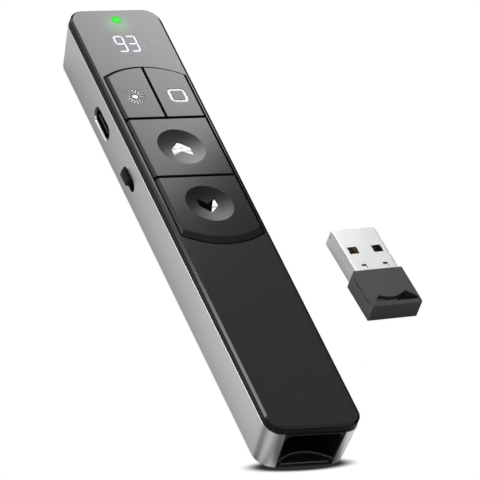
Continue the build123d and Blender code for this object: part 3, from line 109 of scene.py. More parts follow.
rim_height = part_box("left_rail")[1].z
highlight_foot, highlight_head = rim_height - 0.00018, rim_height - 0.00013
rail_silver = worked_metal("rail_silver", (0.67, 0.67, 0.675), 0.36, (9000, 90, 9000), 4e-6)
tree = rail_silver.node_tree
height = tree.nodes.new("ShaderNodeSeparateXYZ")
tree.links.new(tree.nodes["Texture Coordinate"].outputs["Object"], height.inputs["Vector"])
# Painted highlight: a flat, slightly lighter band without brush marks along the top of the rim.
bright = tree.nodes.new("ShaderNodeMix")
bright.data_type = "RGBA"
bright.inputs["B"].default_value = (0.68, 0.68, 0.68, 1)
tree.links.new(ramp(tree, height.outputs["Z"], highlight_foot, highlight_head), bright.inputs["Factor"])
tree.links.new(tree.nodes["Mix"].outputs["Result"], bright.inputs["A"])
tree.links.new(bright.outputs["Result"], tree.nodes["Principled BSDF"].inputs["Base Color"])
dress(rail_silver, "right_rail")


def new_piece(name, mesh):
    """Puts a mesh in the scene as a piece of its own."""
    piece = bpy.data.objects.new(name, mesh)
    bpy.context.scene.collection.objects.link(piece)
    return piece


def refinished(name, node, finishes, choose, cuts=(), crease=0.17):
    """A new piece in a node's own shape, cut across given axes; choose gives a face its finish."""
    mesh = nodes[node].data.copy()
    mesh.materials.clear()
    for finish in finishes:
        mesh.materials.append(finish)
    shape = bmesh.new()
    shape.from_mesh(mesh)
    bmesh.ops.remove_doubles(shape, verts=shape.verts, dist=1e-6)
    for across, where in cuts:
        everything = shape.verts[:] + shape.edges[:] + shape.faces[:]
        way = Vector((across == "x", across == "y", across == "z"))
        bmesh.ops.bisect_plane(shape, geom=everything, plane_co=way * where, plane_no=way, dist=1e-7)
    shape.normal_update()
    for face in shape.faces:
        face.material_index = finishes.index(choose(face.normal, face.calc_center_median()))
        face.smooth = True
    for edge in shape.edges:
        first, last = edge.link_faces[0], edge.link_faces[-1]
        edge.smooth = first.material_index == last.material_index and edge.calc_face_angle(0) < crease
    shape.to_mesh(mesh)
    shape.free()
    piece = new_piece(name, mesh)
    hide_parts(node)
    return piece


# The lip round the port's slot is one steel: a light copy paints its highlight and a dark copy paints
# its shade.
lip_painted_highlight = worked_metal("lip_painted_highlight", (0.8, 0.8, 0.8), 0.3, (3000, 3000, 3000), 2e-6)
lip_painted_shade = worked_metal("lip_painted_shade", (0.12, 0.12, 0.12), 0.4, (3000, 3000, 3000), 2e-6)
port_low, port_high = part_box("usb_c_shell")
lip_width = 0.0008
lip_top = rim_height - 0.001


def rail_finish(normal, centre):
    """Painted highlight on the upward half of the lip round the port's slot, painted shade on its
    ends and its roof.
    """
    at_port = port_low.y - lip_width < centre.y < port_high.y + lip_width
    leaning = -0.95 < normal.x < -0.4
    if at_port and leaning and centre.z < lip_top:
        facing_up = normal.z > 0.45
        return lip_painted_highlight if facing_up else lip_painted_shade
    return rail_silver


left_rail = refinished(
    "lipped_left_rail", "left_rail", (rail_silver, lip_painted_highlight, lip_painted_shade), rail_finish, crease=0.35
)
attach(left_rail, "clicker")


# ---- Back cover -------------------------------------------------------------------------------
# One flat moulding in black ABS that closes the body from below. Its outer face has a fine
# spark-eroded grain; the screw posts and the laser's cradle are moulded on its inside.
def moulded_plastic(name, colour, roughness, grain, depth, specular=0.5):
    """Moulded plastic with an even grain, given in grains per metre, and a slow change of gloss."""
    finish = bpy.data.materials.new(name)
    finish.use_nodes = True
    tree = finish.node_tree
    tree.nodes["Principled BSDF"].inputs["Specular IOR Level"].default_value = specular
    place = tree.nodes.new("ShaderNodeTexCoord")
    slow_change = 70.0
    noises = []
    for scale in (grain, slow_change):
        noise = tree.nodes.new("ShaderNodeTexNoise")
        noise.inputs["Scale"].default_value = scale
        noise.inputs["Detail"].default_value = 2.0
        tree.links.new(place.outputs["Object"], noise.inputs["Vector"])
        noises.append(noise.outputs["Fac"])
    grains, flow = noises
    vary_gloss(tree, flow, roughness, spread=0.06)
    mark_surface(tree, grains, colour, contrast=0.08, relief=0.3, depth=depth)
    return finish


back_plastic = moulded_plastic("back_plastic", (0.022, 0.022, 0.023), 0.5, 5000, 1e-5)
dress(back_plastic, "back_cover")


# ---- Screws -----------------------------------------------------------------------------------
# Six cross-head screws in zinc-plated steel hold the back cover, the board and the top cover
# together. Each has a pan head with a cross recess, a plain shank and a rolled thread.
def grown_piece(name, tree, places, sizes):
    """Runs a tree on a few loose points and returns what it grows as one plain mesh piece."""
    points = bpy.data.meshes.new(name)
    points.from_pydata(places, [], [])
    seed = new_piece(name + "_seed", points)
    layout = seed.modifiers.new("layout", "NODES")
    layout.node_group = tree
    for socket in tree.interface.items_tree:
        if socket.in_out == "INPUT" and socket.name in sizes:
            layout[socket.identifier] = sizes[socket.name]
    grown = seed.evaluated_get(bpy.context.evaluated_depsgraph_get())
    mesh = bpy.data.meshes.new_from_object(grown)
    mesh.name = name
    bpy.data.objects.remove(seed)
    return new_piece(name, mesh)


def layout_tree(name, *sizes):
    """A new tree that takes points and the named sizes, with its input and output nodes."""
    tree = bpy.data.node_groups.new(name, "GeometryNodeTree")
    tree.interface.new_socket("Points", in_out="INPUT", socket_type="NodeSocketGeometry")
    for size in sizes:
        tree.interface.new_socket(size, in_out="INPUT", socket_type="NodeSocketFloat")
    tree.interface.new_socket("Geometry", in_out="OUTPUT", socket_type="NodeSocketGeometry")
    return tree, tree.nodes.new("NodeGroupInput"), tree.nodes.new("NodeGroupOutput")


def finish_layout(tree, given, result, shape):
    """Puts the shape on every point, makes it real and sends it out."""
    spread = tree.nodes.new("GeometryNodeInstanceOnPoints")
    real = tree.nodes.new("GeometryNodeRealizeInstances")
    tree.links.new(given.outputs["Points"], spread.inputs["Points"])
    tree.links.new(shape, spread.inputs["Instance"])
    tree.links.new(spread.outputs["Instances"], real.inputs["Geometry"])
    tree.links.new(real.outputs["Geometry"], result.inputs["Geometry"])


def feed(tree, socket, value):
    """Links a socket of a tree to another socket, or gives it a number."""
    if isinstance(value, bpy.types.NodeSocket):
        tree.links.new(value, socket)
    else:
        socket.default_value = value


def cylinder(tree, sides, radius, depth):
    """A cylinder in a tree; its radius is a number or a socket."""
    rod = tree.nodes.new("GeometryNodeMeshCylinder")
    rod.inputs["Vertices"].default_value = sides
    rod.inputs["Depth"].default_value = depth
    feed(tree, rod.inputs["Radius"], radius)
    return rod.outputs["Mesh"]


def cuboid(tree, *sizes):
    """A cuboid in a tree; each of its three sizes is a number or a socket."""
    size = tree.nodes.new("ShaderNodeCombineXYZ")
    for socket, value in zip(size.inputs, sizes):
        feed(tree, socket, value)
    cube = tree.nodes.new("GeometryNodeMeshCube")
    tree.links.new(size.outputs["Vector"], cube.inputs["Size"])
    return cube.outputs["Mesh"]


def cut_out(tree, block, tool, solver):
    """Cuts one shape out of another in a tree."""
    cut = tree.nodes.new("GeometryNodeMeshBoolean")
    cut.solver = solver
    tree.links.new(block, cut.inputs["Mesh 1"])
    tree.links.new(tool, cut.inputs["Mesh 2"])
    return cut.outputs["Mesh"]


def joined(tree, *shapes):
    """Joins shapes in a tree."""
    join = tree.nodes.new("GeometryNodeJoinGeometry")
    for shape in shapes:
        tree.links.new(shape, join.inputs["Geometry"])
    return join.outputs["Geometry"]


def moved(tree, shape, offset):
    """Moves a shape in a tree by a fixed offset."""
    shift = tree.nodes.new("GeometryNodeTransform")
    shift.inputs["Translation"].default_value = offset
    tree.links.new(shape, shift.inputs["Geometry"])
    return shift.outputs["Geometry"]


def finished(tree, shape, finish):
    """Sets the finish of a shape in a tree."""
    paint = tree.nodes.new("GeometryNodeSetMaterial")
    paint.inputs["Material"].default_value = finish
    tree.links.new(shape, paint.inputs["Geometry"])
    return paint.outputs["Geometry"]


screw_zinc = worked_metal("screw_zinc", (0.62, 0.62, 0.6), 0.3, (2500, 2500, 2500), 3e-6)
head_radius, head_height = 0.0014, 0.0006
recess_length, recess_height = 0.0017, 0.0007
plain_shank, blunt_tip = 0.0018, 0.0008
thread_turns, thread_depth = 12, 0.00014
screw_low, screw_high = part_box("body_screws")
screw_length = screw_high.z - screw_low.z
shank_length = screw_length - head_height
tree, given, result = layout_tree("screws", "Head Radius", "Shank Radius", "Recess Width")
shank_radius, recess_width = given.outputs["Shank Radius"], given.outputs["Recess Width"]
head = cylinder(tree, 40, given.outputs["Head Radius"], head_height)
for plan in ((recess_length, recess_width), (recess_width, recess_length)):
    bar = cuboid(tree, *plan, recess_height)
    head = cut_out(tree, head, moved(tree, bar, (0, 0, -head_height / 2)), "EXACT")
shank = cylinder(tree, 24, shank_radius, shank_length)
thread_path = tree.nodes.new("GeometryNodeCurveSpiral")
thread_path.inputs["Resolution"].default_value = 14
thread_path.inputs["Rotations"].default_value = thread_turns
thread_path.inputs["Height"].default_value = shank_length - plain_shank - blunt_tip
for end in ("Start Radius", "End Radius"):
    tree.links.new(shank_radius, thread_path.inputs[end])
thread_form = tree.nodes.new("GeometryNodeCurvePrimitiveCircle")
thread_form.inputs["Resolution"].default_value = 4
thread_form.inputs["Radius"].default_value = thread_depth
thread = tree.nodes.new("GeometryNodeCurveToMesh")
thread.inputs["Fill Caps"].default_value = True
tree.links.new(thread_path.outputs["Curve"], thread.inputs["Curve"])
tree.links.new(thread_form.outputs["Curve"], thread.inputs["Profile Curve"])
screw = joined(
    tree,
    moved(tree, head, (0, 0, head_height / 2)),
    moved(tree, shank, (0, 0, (screw_length + head_height) / 2)),
    moved(tree, thread.outputs["Mesh"], (0, 0, head_height + plain_shank)),
)
finish_layout(tree, given, result, finished(tree, screw, screw_zinc))
screw_x = screw_high.x - head_radius
middle_row = -0.0155
screw_rows = (screw_low.y + head_radius, middle_row, screw_high.y - head_radius)
screw_places = [(side * screw_x, y, screw_low.z) for y in screw_rows for side in (-1, 1)]
screws = grown_piece(
    "cross_head_screws", tree, screw_places,
    {"Head Radius": head_radius, "Shank Radius": 0.00078, "Recess Width": 0.0004},
)
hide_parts("body_screws")
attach(screws, "clicker")


# ---- Circuit board ----------------------------------------------------------------------------
# A glass-fibre board under green solder mask, with copper tracks that show through it. It lies on
# the four far screw posts and carries everything electric.
mask_green = (0.012, 0.1, 0.035)
board_mask = moulded_plastic("board_mask", mask_green, 0.3, 900, 1e-5)
tree = board_mask.node_tree
tracks = tree.nodes.new("ShaderNodeTexBrick")
tracks.inputs["Scale"].default_value = 260.0
tracks.inputs["Mortar Size"].default_value = 0.035
tracks.inputs["Color1"].default_value = (*mask_green, 1)
tracks.inputs["Color2"].default_value = (0.016, 0.12, 0.042, 1)
tracks.inputs["Mortar"].default_value = (0.05, 0.2, 0.07, 1)
tree.links.new(tree.nodes["Texture Coordinate"].outputs["Object"], tracks.inputs["Vector"])
tree.links.new(tracks.outputs["Color"], tree.nodes["Mix"].inputs["A"])
tree.links.new(tracks.outputs["Color"], tree.nodes["Mix"].inputs["B"])
dress(board_mask, "main_board")


# ---- Chips and small parts --------------------------------------------------------------------
# A black epoxy controller, its crystal in a drawn nickel can, and eight ceramic parts, each with a
# tinned cap at both ends, all soldered to the board's underside.
chip_epoxy = moulded_plastic("chip_epoxy", (0.02, 0.02, 0.02), 0.55, 4000, 1e-5)
dress(chip_epoxy, "controller_chip", "dongle_chip")
can_nickel = worked_metal("can_nickel", (0.68, 0.66, 0.6), 0.22, (1500, 1500, 1500), 2e-6)
dress(can_nickel, "crystal_can")
ceramic_tan = moulded_plastic("ceramic_tan", (0.34, 0.24, 0.13), 0.5, 6000, 4e-6)
tinned_end = worked_metal("tinned_end", (0.7, 0.7, 0.68), 0.3, (3000, 3000, 3000), 3e-6)
part_low, part_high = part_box("board_components")
part_height = part_high.z - part_low.z
part_length, end_length = 0.0016, 0.0003
body_share = 0.94


def worked_out(tree, operation, *values):
    """A number in a tree, worked out from numbers or sockets."""
    node = tree.nodes.new("ShaderNodeMath")
    node.operation = operation
    for socket, value in zip(node.inputs, values):
        feed(tree, socket, value)
    return node.outputs["Value"]


tree, given, result = layout_tree("small_parts", "Length", "Width", "End Length")
whole, width, capped = [given.outputs[size] for size in ("Length", "Width", "End Length")]
body_length = worked_out(tree, "MULTIPLY_ADD", capped, -2.0, whole)
body_width = worked_out(tree, "MULTIPLY", width, body_share)
body = cuboid(tree, body_length, body_width, part_height * body_share)
end = cuboid(tree, capped, width, part_height)
end_offset = (part_length - end_length) / 2
ends = joined(tree, *[moved(tree, end, (side * end_offset, 0, 0)) for side in (-1, 1)])
part = joined(tree, finished(tree, body, ceramic_tan), finished(tree, ends, tinned_end))
finish_layout(tree, given, result, part)
middle_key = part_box("page_up_key")
key_row = (middle_key[0].y + middle_key[1].y) / 2
inner_row = key_row - 0.0015
port_row = (port_low.y + port_high.y) / 2
edge_x, inner_x, port_x = 0.0076, -0.0018, 0.002
pitch, port_pitch = 0.0025, 0.003
part_spots = [(edge_x, key_row + step * pitch) for step in (-2, -1, 0)]
part_spots += [(inner_x, inner_row + step * pitch) for step in (-1, 0)]
part_spots += [(port_x, port_row + step * port_pitch) for step in (-1, 0, 1)]
part_mid = (part_low.z + part_high.z) / 2
small_parts = grown_piece(
    "ceramic_parts", tree, [(x, y, part_mid) for x, y in part_spots],
    {"Length": part_length, "Width": 0.0008, "End Length": end_length},
)
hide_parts("board_components")
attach(small_parts, "clicker")


# ---- Key switches -----------------------------------------------------------------------------
# Four dome switches, one under each key: a black base in a folded steel cover held by four staked
# corners, and a black plunger that the key's stem presses.
switch_low, switch_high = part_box("switch_bodies")
switch_height = switch_high.z - switch_low.z
switch_black = moulded_plastic("switch_black", (0.025, 0.025, 0.026), 0.45, 4000, 6e-6)
switch_cover = worked_metal("switch_cover", (0.6, 0.6, 0.59), 0.28, (4000, 200, 4000), 3e-6)
lid_height = 0.0003
bore_radius, bore_height = 0.00115, 0.0019
stake_at, stake_rise = 0.0017, 0.00005
tree, given, result = layout_tree("switches", "Size", "Stake Radius")
size = given.outputs["Size"]
base = cuboid(tree, size, size, switch_height - lid_height)
lid = cuboid(tree, size, size, lid_height)
bore = moved(tree, cylinder(tree, 32, bore_radius, bore_height), (0, 0, switch_height))
base = moved(tree, base, (0, 0, (switch_height - lid_height) / 2))
lid = moved(tree, lid, (0, 0, switch_height - lid_height / 2))
base, lid = [cut_out(tree, block, bore, "FLOAT") for block in (base, lid)]
stake = cylinder(tree, 12, given.outputs["Stake Radius"], lid_height)
stake_height = switch_height - lid_height / 2 + stake_rise
corners = [(x, y) for x in (-stake_at, stake_at) for y in (-stake_at, stake_at)]
stakes = [moved(tree, stake, (x, y, stake_height)) for x, y in corners]
switch = joined(
    tree,
    finished(tree, joined(tree, base, *stakes), switch_black),
    finished(tree, lid, switch_cover),
)
finish_layout(tree, given, result, switch)
plungers = ("laser_plunger", "screen_plunger", "up_plunger", "down_plunger")
switch_places = []
for plunger in plungers:
    low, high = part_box(plunger)
    switch_places.append(((low.x + high.x) / 2, (low.y + high.y) / 2, switch_low.z))
switches = grown_piece("dome_switches", tree, switch_places, {"Size": 0.0045, "Stake Radius": 0.0003})
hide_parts("switch_bodies")
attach(switches, "clicker")
dress(switch_black, *plungers)


# ---- Battery ----------------------------------------------------------------------------------
# A pouch cell in silver laminate on a strip of grey foam tape, with a red and a black lead into a
# white nylon socket on the board.
pouch_foil = worked_metal("pouch_foil", (0.62, 0.62, 0.64), 0.32, (700, 700, 700), 2e-5)
dress(pouch_foil, "battery")
foam_grey = moulded_plastic("foam_grey", (0.22, 0.22, 0.22), 0.9, 3000, 6e-5, 0.2)
dress(foam_grey, "battery_pad")
socket_nylon = moulded_plastic("socket_nylon", (0.75, 0.74, 0.68), 0.5, 3000, 6e-6)
dress(socket_nylon, "battery_socket")
lead_red = moulded_plastic("lead_red", (0.5, 0.02, 0.02), 0.4, 2500, 5e-6)
dress(lead_red, "battery_lead_red")
lead_black = moulded_plastic("lead_black", (0.02, 0.02, 0.02), 0.4, 2500, 5e-6)
dress(lead_black, "battery_lead_black")


# ---- Charging port ----------------------------------------------------------------------------
# A drawn stainless shell behind an oval slot in the left rail, with a black tongue in its middle
# that is moulded round a steel mid-plate. The plate shows as a thin line along the tongue's tip.
port_steel = worked_metal("port_steel", (0.62, 0.62, 0.61), 0.3, (300, 5000, 5000), 3e-6)
# A dark copy of the shell's steel paints the shade inside the port.
port_painted_shade = worked_metal("port_painted_shade", (0.05, 0.05, 0.05), 0.5, (300, 5000, 5000), 3e-6)
port_axis = (port_low + port_high) / 2


def port_finish(normal, centre):
    """Painted shade on the inside and the cut rim of the drawn shell; its outside is bright."""
    inward = Vector((0, port_axis.y - centre.y, port_axis.z - centre.z))
    return port_painted_shade if abs(normal.x) > 0.9 or normal.dot(inward) > 0 else port_steel


port_shell = refinished("drawn_port_shell", "usb_c_shell", (port_steel, port_painted_shade), port_finish)
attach(port_shell, "clicker")
tongue_black = moulded_plastic("tongue_black", (0.008, 0.008, 0.008), 0.5, 4000, 5e-6, 0.1)
mid_plate = moulded_plastic("mid_plate", (0.085, 0.085, 0.085), 0.4, 4000, 5e-6, 0.3)
tongue_low, tongue_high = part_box("usb_c_tongue")
tongue_mid = (tongue_low.z + tongue_high.z) / 2
plate_half = 0.00013
tip_depth, tip_reach = 0.0001, 0.0004


def tongue_finish(normal, centre):
    """Steel on the middle strip of the tip, black everywhere else."""
    return mid_plate if normal.x < -0.9 and abs(centre.z - tongue_mid) < plate_half else tongue_black


tongue = refinished(
    "plated_tongue", "usb_c_tongue", (tongue_black, mid_plate), tongue_finish,
    cuts=(("z", tongue_mid - plate_half), ("z", tongue_mid + plate_half)),
)
for vert in tongue.data.vertices:
    if vert.co.x < tongue_low.x + tip_depth:
        vert.co.x -= tip_reach
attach(tongue, "clicker")


# ---- Power switch -----------------------------------------------------------------------------
# A slide switch on the board's edge. Its black knob stands through a slot in the left rail and
# slides towards the near end to switch off.
knob_black = moulded_plastic("knob_black", (0.01, 0.01, 0.0105), 0.45, 3500, 1e-5, 0.12)
dress(knob_black, "power_slider")
dress(switch_black, "power_switch_body")


# ---- Laser module -----------------------------------------------------------------------------
# A turned brass barrel in the back cover's cradle, with a glass lens in front and a gilt diode can
# with three pins behind. A black insert with a clear window closes the far end between the rails.
barrel_brass = worked_metal("barrel_brass", (0.66, 0.48, 0.2), 0.28, (300, 9000, 300), 4e-6)
dress(barrel_brass, "laser_barrel")
diode_gilt = worked_metal("diode_gilt", (0.8, 0.58, 0.24), 0.2, (2000, 2000, 2000), 2e-6)
dress(diode_gilt, "laser_diode")
insert_black = moulded_plastic("insert_black", (0.016, 0.016, 0.017), 0.4, 4500, 8e-6, 0.3)
dress(insert_black, "nose_insert")
coated_glass = moulded_plastic("coated_glass", (0.2, 0.06, 0.07), 0.04, 500, 1e-7)
coating = coated_glass.node_tree.nodes["Principled BSDF"]
coating.inputs["Coat Weight"].default_value = 0.6
coating.inputs["Coat Roughness"].default_value = 0.02
dress(coated_glass, "laser_window", "laser_lens")


# ---- Receiver bay -----------------------------------------------------------------------------
# A black moulded tube in the near end, with a thumb scoop in its floor and a nickel-plated magnet
# at its back that holds the receiver.
bay_black = moulded_plastic("bay_black", (0.009, 0.009, 0.0095), 0.42, 4500, 8e-6, 0.12)
# Lighter copies of the bay's black: a painted highlight on the scoop's rim and painted light on the
# end face.
bay_painted_highlight = moulded_plastic("bay_painted_highlight", (0.075, 0.075, 0.076), 0.4, 4500, 6e-6, 0.3)
bay_end_painted_light = moulded_plastic("bay_end_painted_light", (0.018, 0.018, 0.0185), 0.45, 4500, 8e-6, 0.2)
bay_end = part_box("receiver_bay")[0].y
scoop_reach, scoop_top = 0.004, 0.0035
mouth_top, rim_depth = 0.006, 0.0006


def bay_finish(normal, centre):
    """Painted highlight on the eased rim and lip of the scoop, painted light on the end face above
    the mouth.
    """
    eased = 0.3 < normal.z < 0.95
    if eased and centre.z < scoop_top and centre.y < bay_end + scoop_reach:
        return bay_painted_highlight
    on_end = normal.y < -0.9 and centre.y < bay_end + rim_depth
    return bay_end_painted_light if on_end and centre.z > mouth_top else bay_black


bay = refinished("eased_receiver_bay", "receiver_bay", (bay_black, bay_painted_highlight, bay_end_painted_light), bay_finish)
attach(bay, "clicker")
magnet_nickel = worked_metal("magnet_nickel", (0.66, 0.64, 0.6), 0.2, (1500, 1500, 1500), 2e-6)
dress(magnet_nickel, "receiver_magnet")


# ---- Display and status light -----------------------------------------------------------------
# A two-digit LED module stands on the board under the cover. Its lit bars show through slits in
# the cover that are filled with clear resin, and a green LED lights a round pipe beyond them.
module_grey = moulded_plastic("module_grey", (0.14, 0.14, 0.145), 0.5, 4000, 6e-6)
dress(module_grey, "display_module")
led_resin = moulded_plastic("led_resin", (0.7, 0.72, 0.6), 0.25, 3000, 2e-6)
dress(led_resin, "status_led")


def far_from(tree, place, middle):
    """How far a place in a tree is from a fixed middle."""
    away = tree.nodes.new("ShaderNodeVectorMath")
    away.operation = "DISTANCE"
    away.inputs[1].default_value = middle
    tree.links.new(place, away.inputs[0])
    return away.outputs["Value"]


def light_up(finish, colour, middle, reach, inner, outer, course="LINEAR"):
    """Light in a finish: inner is its strength at the middle, and outer at its reach and beyond."""
    tree = finish.node_tree
    away = far_from(tree, tree.nodes["Texture Coordinate"].outputs["Object"], middle)
    shader = tree.nodes["Principled BSDF"]
    shader.inputs["Emission Color"].default_value = (*colour, 1)
    strength = ramp(tree, away, 0.0, reach, inner, outer, course)
    tree.links.new(strength, shader.inputs["Emission Strength"])


def lit_resin(name, colour, glow, strength, middle, reach):
    """Clear resin lit from below, half as strong at its reach as at its middle."""
    finish = moulded_plastic(name, colour, 0.5, 3000, 2e-6, 0.1)
    light_up(finish, glow, middle, reach, strength, strength * 0.5)
    return finish


light_low, light_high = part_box("status_light_pipe")
light_centre = (light_low + light_high) / 2
light_centre.z = light_high.z
light_reach = 0.0015
light_green = lit_resin(
    "light_green", (0.008, 0.1, 0.012), (0.06, 1.0, 0.065), 0.95, light_centre, light_reach
)
dress(light_green, "status_light_pipe")
digits_low, digits_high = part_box("display_segments")
digits_centre = (digits_low + digits_high) / 2
bar_white = lit_resin("bar_white", (0.3, 0.28, 0.34), (0.86, 0.78, 1.0), 0.95, digits_centre, 0.02)
dress(bar_white, "display_segments")
mark_dim = lit_resin("mark_dim", (0.16, 0.14, 0.16), (0.9, 0.78, 1.0), 0.36, digits_centre, 0.02)
dress(mark_dim, "percent_mark")


# ---- Top cover --------------------------------------------------------------------------------
# One black moulding over the whole length, polished on its top face and its bevel and left satin
# on its side walls, which are painted darker than the top as shade. Dark lines of painted shade run
# at the foot and head of the walls, along the right rim and the far bevel, and a green glow is
# painted round the light's hole. The key window, the slits of the display and the light's hole are
# cut in it.
cover_gloss = moulded_plastic("cover_gloss", (0.031, 0.031, 0.032), 0.11, 2500, 2e-6)
# A green glow painted into the cover's gloss round the light's hole, standing in for the LED's light
# spilling on it.
painted_glow_centre = light_centre - Vector((0.0003, 0.0014, 0))
painted_glow_reach = 0.0052
light_up(cover_gloss, (0.1, 1.0, 0.2), painted_glow_centre, painted_glow_reach, 0.15, 0.0, "SMOOTHERSTEP")
cover_satin = moulded_plastic("cover_satin", (0.011, 0.011, 0.012), 0.4, 4500, 6e-6, 0.08)
cover_matt = moulded_plastic("cover_matt", (0.012, 0.012, 0.0125), 0.45, 4500, 6e-6, 0.05)
# Near-black with no reflection, for the lines of painted shade along the cover's walls and rims.
cover_painted_shade = moulded_plastic("cover_painted_shade", (0.006, 0.006, 0.006), 0.5, 4500, 6e-6, 0.0)
cover_low, cover_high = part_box("top_cover")
wall_foot = rim_height + 0.0003
wall_head = cover_high.z - 0.0007
wall_top = cover_high.z - 0.0004
bevel_foot = cover_high.z - 0.0006
shade_line_x = cover_high.x - 0.00082
end_face = cover_low.y + 0.001


def cover_finish(normal, centre):
    """Gloss on top, painted shade on its right rim and far-facing bevel, matt at the near end, satin
    between two lines of painted shade.
    """
    outside = abs(normal.z) < 0.3 and rim_height < centre.z < wall_top
    if outside and not wall_foot < centre.z < wall_head:
        return cover_painted_shade
    if normal.y < -0.9 and centre.y < end_face:
        return cover_matt
    if centre.z > bevel_foot and normal.z > 0.97:
        return cover_painted_shade if centre.x > shade_line_x else cover_gloss
    if centre.z > bevel_foot and normal.z > 0.5:
        return cover_painted_shade if normal.x > 0.3 or normal.y > 0.3 else cover_gloss
    return cover_satin


cover_finishes = (cover_gloss, cover_satin, cover_matt, cover_painted_shade)
cover = refinished(
    "polished_top_cover", "top_cover", cover_finishes, cover_finish,
    cuts=(("z", wall_foot), ("z", wall_head), ("x", shade_line_x)),
)
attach(cover, "clicker")


# ---- Keys -------------------------------------------------------------------------------------
# Four black ABS keys in the cover's window, polished like the cover. Page up and page down have a
# round thumb dish; each key hangs on tabs under the cover and presses its switch with a stem.
key_gloss = moulded_plastic("key_gloss", (0.02, 0.02, 0.021), 0.12, 2500, 2e-6)
dish_satin = moulded_plastic("dish_satin", (0.02, 0.02, 0.021), 0.32, 4000, 4e-6)
# Painted shade: the page-down dish is a darker, less reflective copy of the same satin.
dish_painted_shade = moulded_plastic("dish_painted_shade", (0.012, 0.012, 0.0125), 0.32, 4000, 4e-6, 0.24)
# Painted shade: a darker copy of the key plastic on walls, far edges, the divider's rims, the lines
# between rows and under the marks.
key_painted_shade = moulded_plastic("key_painted_shade", (0.008, 0.008, 0.008), 0.5, 4000, 6e-6, 0.05)
dish_radius, dish_rim = 0.0059, 0.0003
dishes = [(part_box(mark)[0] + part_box(mark)[1]) / 2 for mark in ("up_chevron", "down_chevron")]
mark_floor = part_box("laser_icon")[0].z
divider_edge = 0.00039
row_shade_width = 0.00012
key_tops = []
for node in ("laser_key", "page_up_key", "page_down_key"):
    top_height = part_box(node)[1].z - 1e-5
    top = [v.co.y for v in nodes[node].data.vertices if v.co.z > top_height]
    key_tops.append((min(top), max(top)))
row_lines = []
for before, beyond in zip(key_tops, key_tops[1:]):
    row_lines.append((beyond[1] - row_shade_width, before[0] + row_shade_width))


def key_finish(normal, centre):
    """Gloss on top and slopes, satin in the up dish, painted shade in the down dish, on walls, far
    edges, divider, row lines and under marks.
    """
    flat = normal.z > 0.9999
    under_mark = flat and abs(centre.z - mark_floor) < 1e-5
    at_divider = abs(centre.x) < divider_edge and centre.y > key_tops[0][0]
    at_row_line = any(near < centre.y < far for near, far in row_lines)
    if normal.z < 0.3 or normal.y > 0.3 or under_mark or at_divider or at_row_line:
        return key_painted_shade
    for middle, finish in zip(dishes, (dish_satin, dish_painted_shade)):
        if (centre - middle).to_2d().length < dish_radius + dish_rim and not flat:
            return finish
    return key_gloss


key_finishes = (key_gloss, dish_satin, dish_painted_shade, key_painted_shade)
for node, body in (
    ("laser_key", "laser_button"),
    ("screen_key", "screen_button"),
    ("page_up_key", "page_up_button"),
    ("page_down_key", "page_down_button"),
):
    cuts = [("y", edge) for line in row_lines for edge in line]
    if node in ("laser_key", "screen_key"):
        cuts += [("x", -divider_edge), ("x", divider_edge)]
    key = refinished("polished_" + node, node, key_finishes, key_finish, cuts)
    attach(key, body)


# ---- Key marks --------------------------------------------------------------------------------
# White resin marks let into the two small keys, a little below the surface: a sun of one disc and
# sixteen rays on the laser key, and a rounded square ring on the screen key.
mark_white = moulded_plastic("mark_white", (0.82, 0.82, 0.82), 0.45, 3500, 3e-6)
mark_sunk = 0.00011
ring_mark = refinished("ring_mark", "screen_icon", (mark_white,), lambda normal, centre: mark_white)
for vert in ring_mark.data.vertices:
    if vert.co.z > mark_floor + mark_sunk:
        vert.co.z -= mark_sunk
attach(ring_mark, "screen_button")
ray_count = 16
sun_low, sun_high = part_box("laser_icon")
sun_depth = sun_high.z - sun_low.z - mark_sunk
sun_mid = (sun_low + sun_high) / 2
sun_mid.z = sun_low.z + sun_depth / 2
tree, given, result = layout_tree("sun_mark", "Disc Radius", "Ray Start", "Ray Length", "Ray Width")
disc = cylinder(tree, 48, given.outputs["Disc Radius"], sun_depth)
ray_length = given.outputs["Ray Length"]
ray = cuboid(tree, ray_length, given.outputs["Ray Width"], sun_depth)
ray_middle = worked_out(tree, "MULTIPLY_ADD", ray_length, 0.5, given.outputs["Ray Start"])
ring = tree.nodes.new("GeometryNodeMeshCircle")
ring.inputs["Vertices"].default_value = ray_count
tree.links.new(ray_middle, ring.inputs["Radius"])
ring_place = tree.nodes.new("GeometryNodeInputPosition")
ray_turn = tree.nodes.new("FunctionNodeAlignEulerToVector")
ray_turn.axis = "X"
tree.links.new(ring_place.outputs["Position"], ray_turn.inputs["Vector"])
ray_spread = tree.nodes.new("GeometryNodeInstanceOnPoints")
tree.links.new(ring.outputs["Mesh"], ray_spread.inputs["Points"])
tree.links.new(ray, ray_spread.inputs["Instance"])
tree.links.new(ray_turn.outputs["Rotation"], ray_spread.inputs["Rotation"])
sun = joined(tree, disc, ray_spread.outputs["Instances"])
finish_layout(tree, given, result, finished(tree, sun, mark_white))
sun_mark = grown_piece(
    "sun_mark", tree, [tuple(sun_mid)],
    {"Disc Radius": 0.0007, "Ray Start": 0.0011, "Ray Length": 0.0014, "Ray Width": 0.00024},
)
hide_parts("laser_icon")
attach(sun_mark, "laser_button")


# ---- Chevrons ---------------------------------------------------------------------------------
# Two inlays in ABS with bright chrome plating, pressed into the thumb dishes a little below the
# surface round them. Each is made of two flat facets that lean in different ways.
chevron_chrome = worked_metal("chevron_chrome", (0.6, 0.6, 0.605), 0.07, (400, 1500, 400), 1e-6)
tree = chevron_chrome.node_tree
streak = ramp(tree, tree.nodes["Noise Texture"].outputs["Fac"], 0.4, 0.47)
tree.links.new(streak, tree.nodes["Mix"].inputs["Factor"])
tree.nodes["Mix"].inputs["A"].default_value = (0.36, 0.36, 0.36, 1)
chevron_rise, chevron_notch = 0.0024, 0.0031
dish_depth = 0.0008


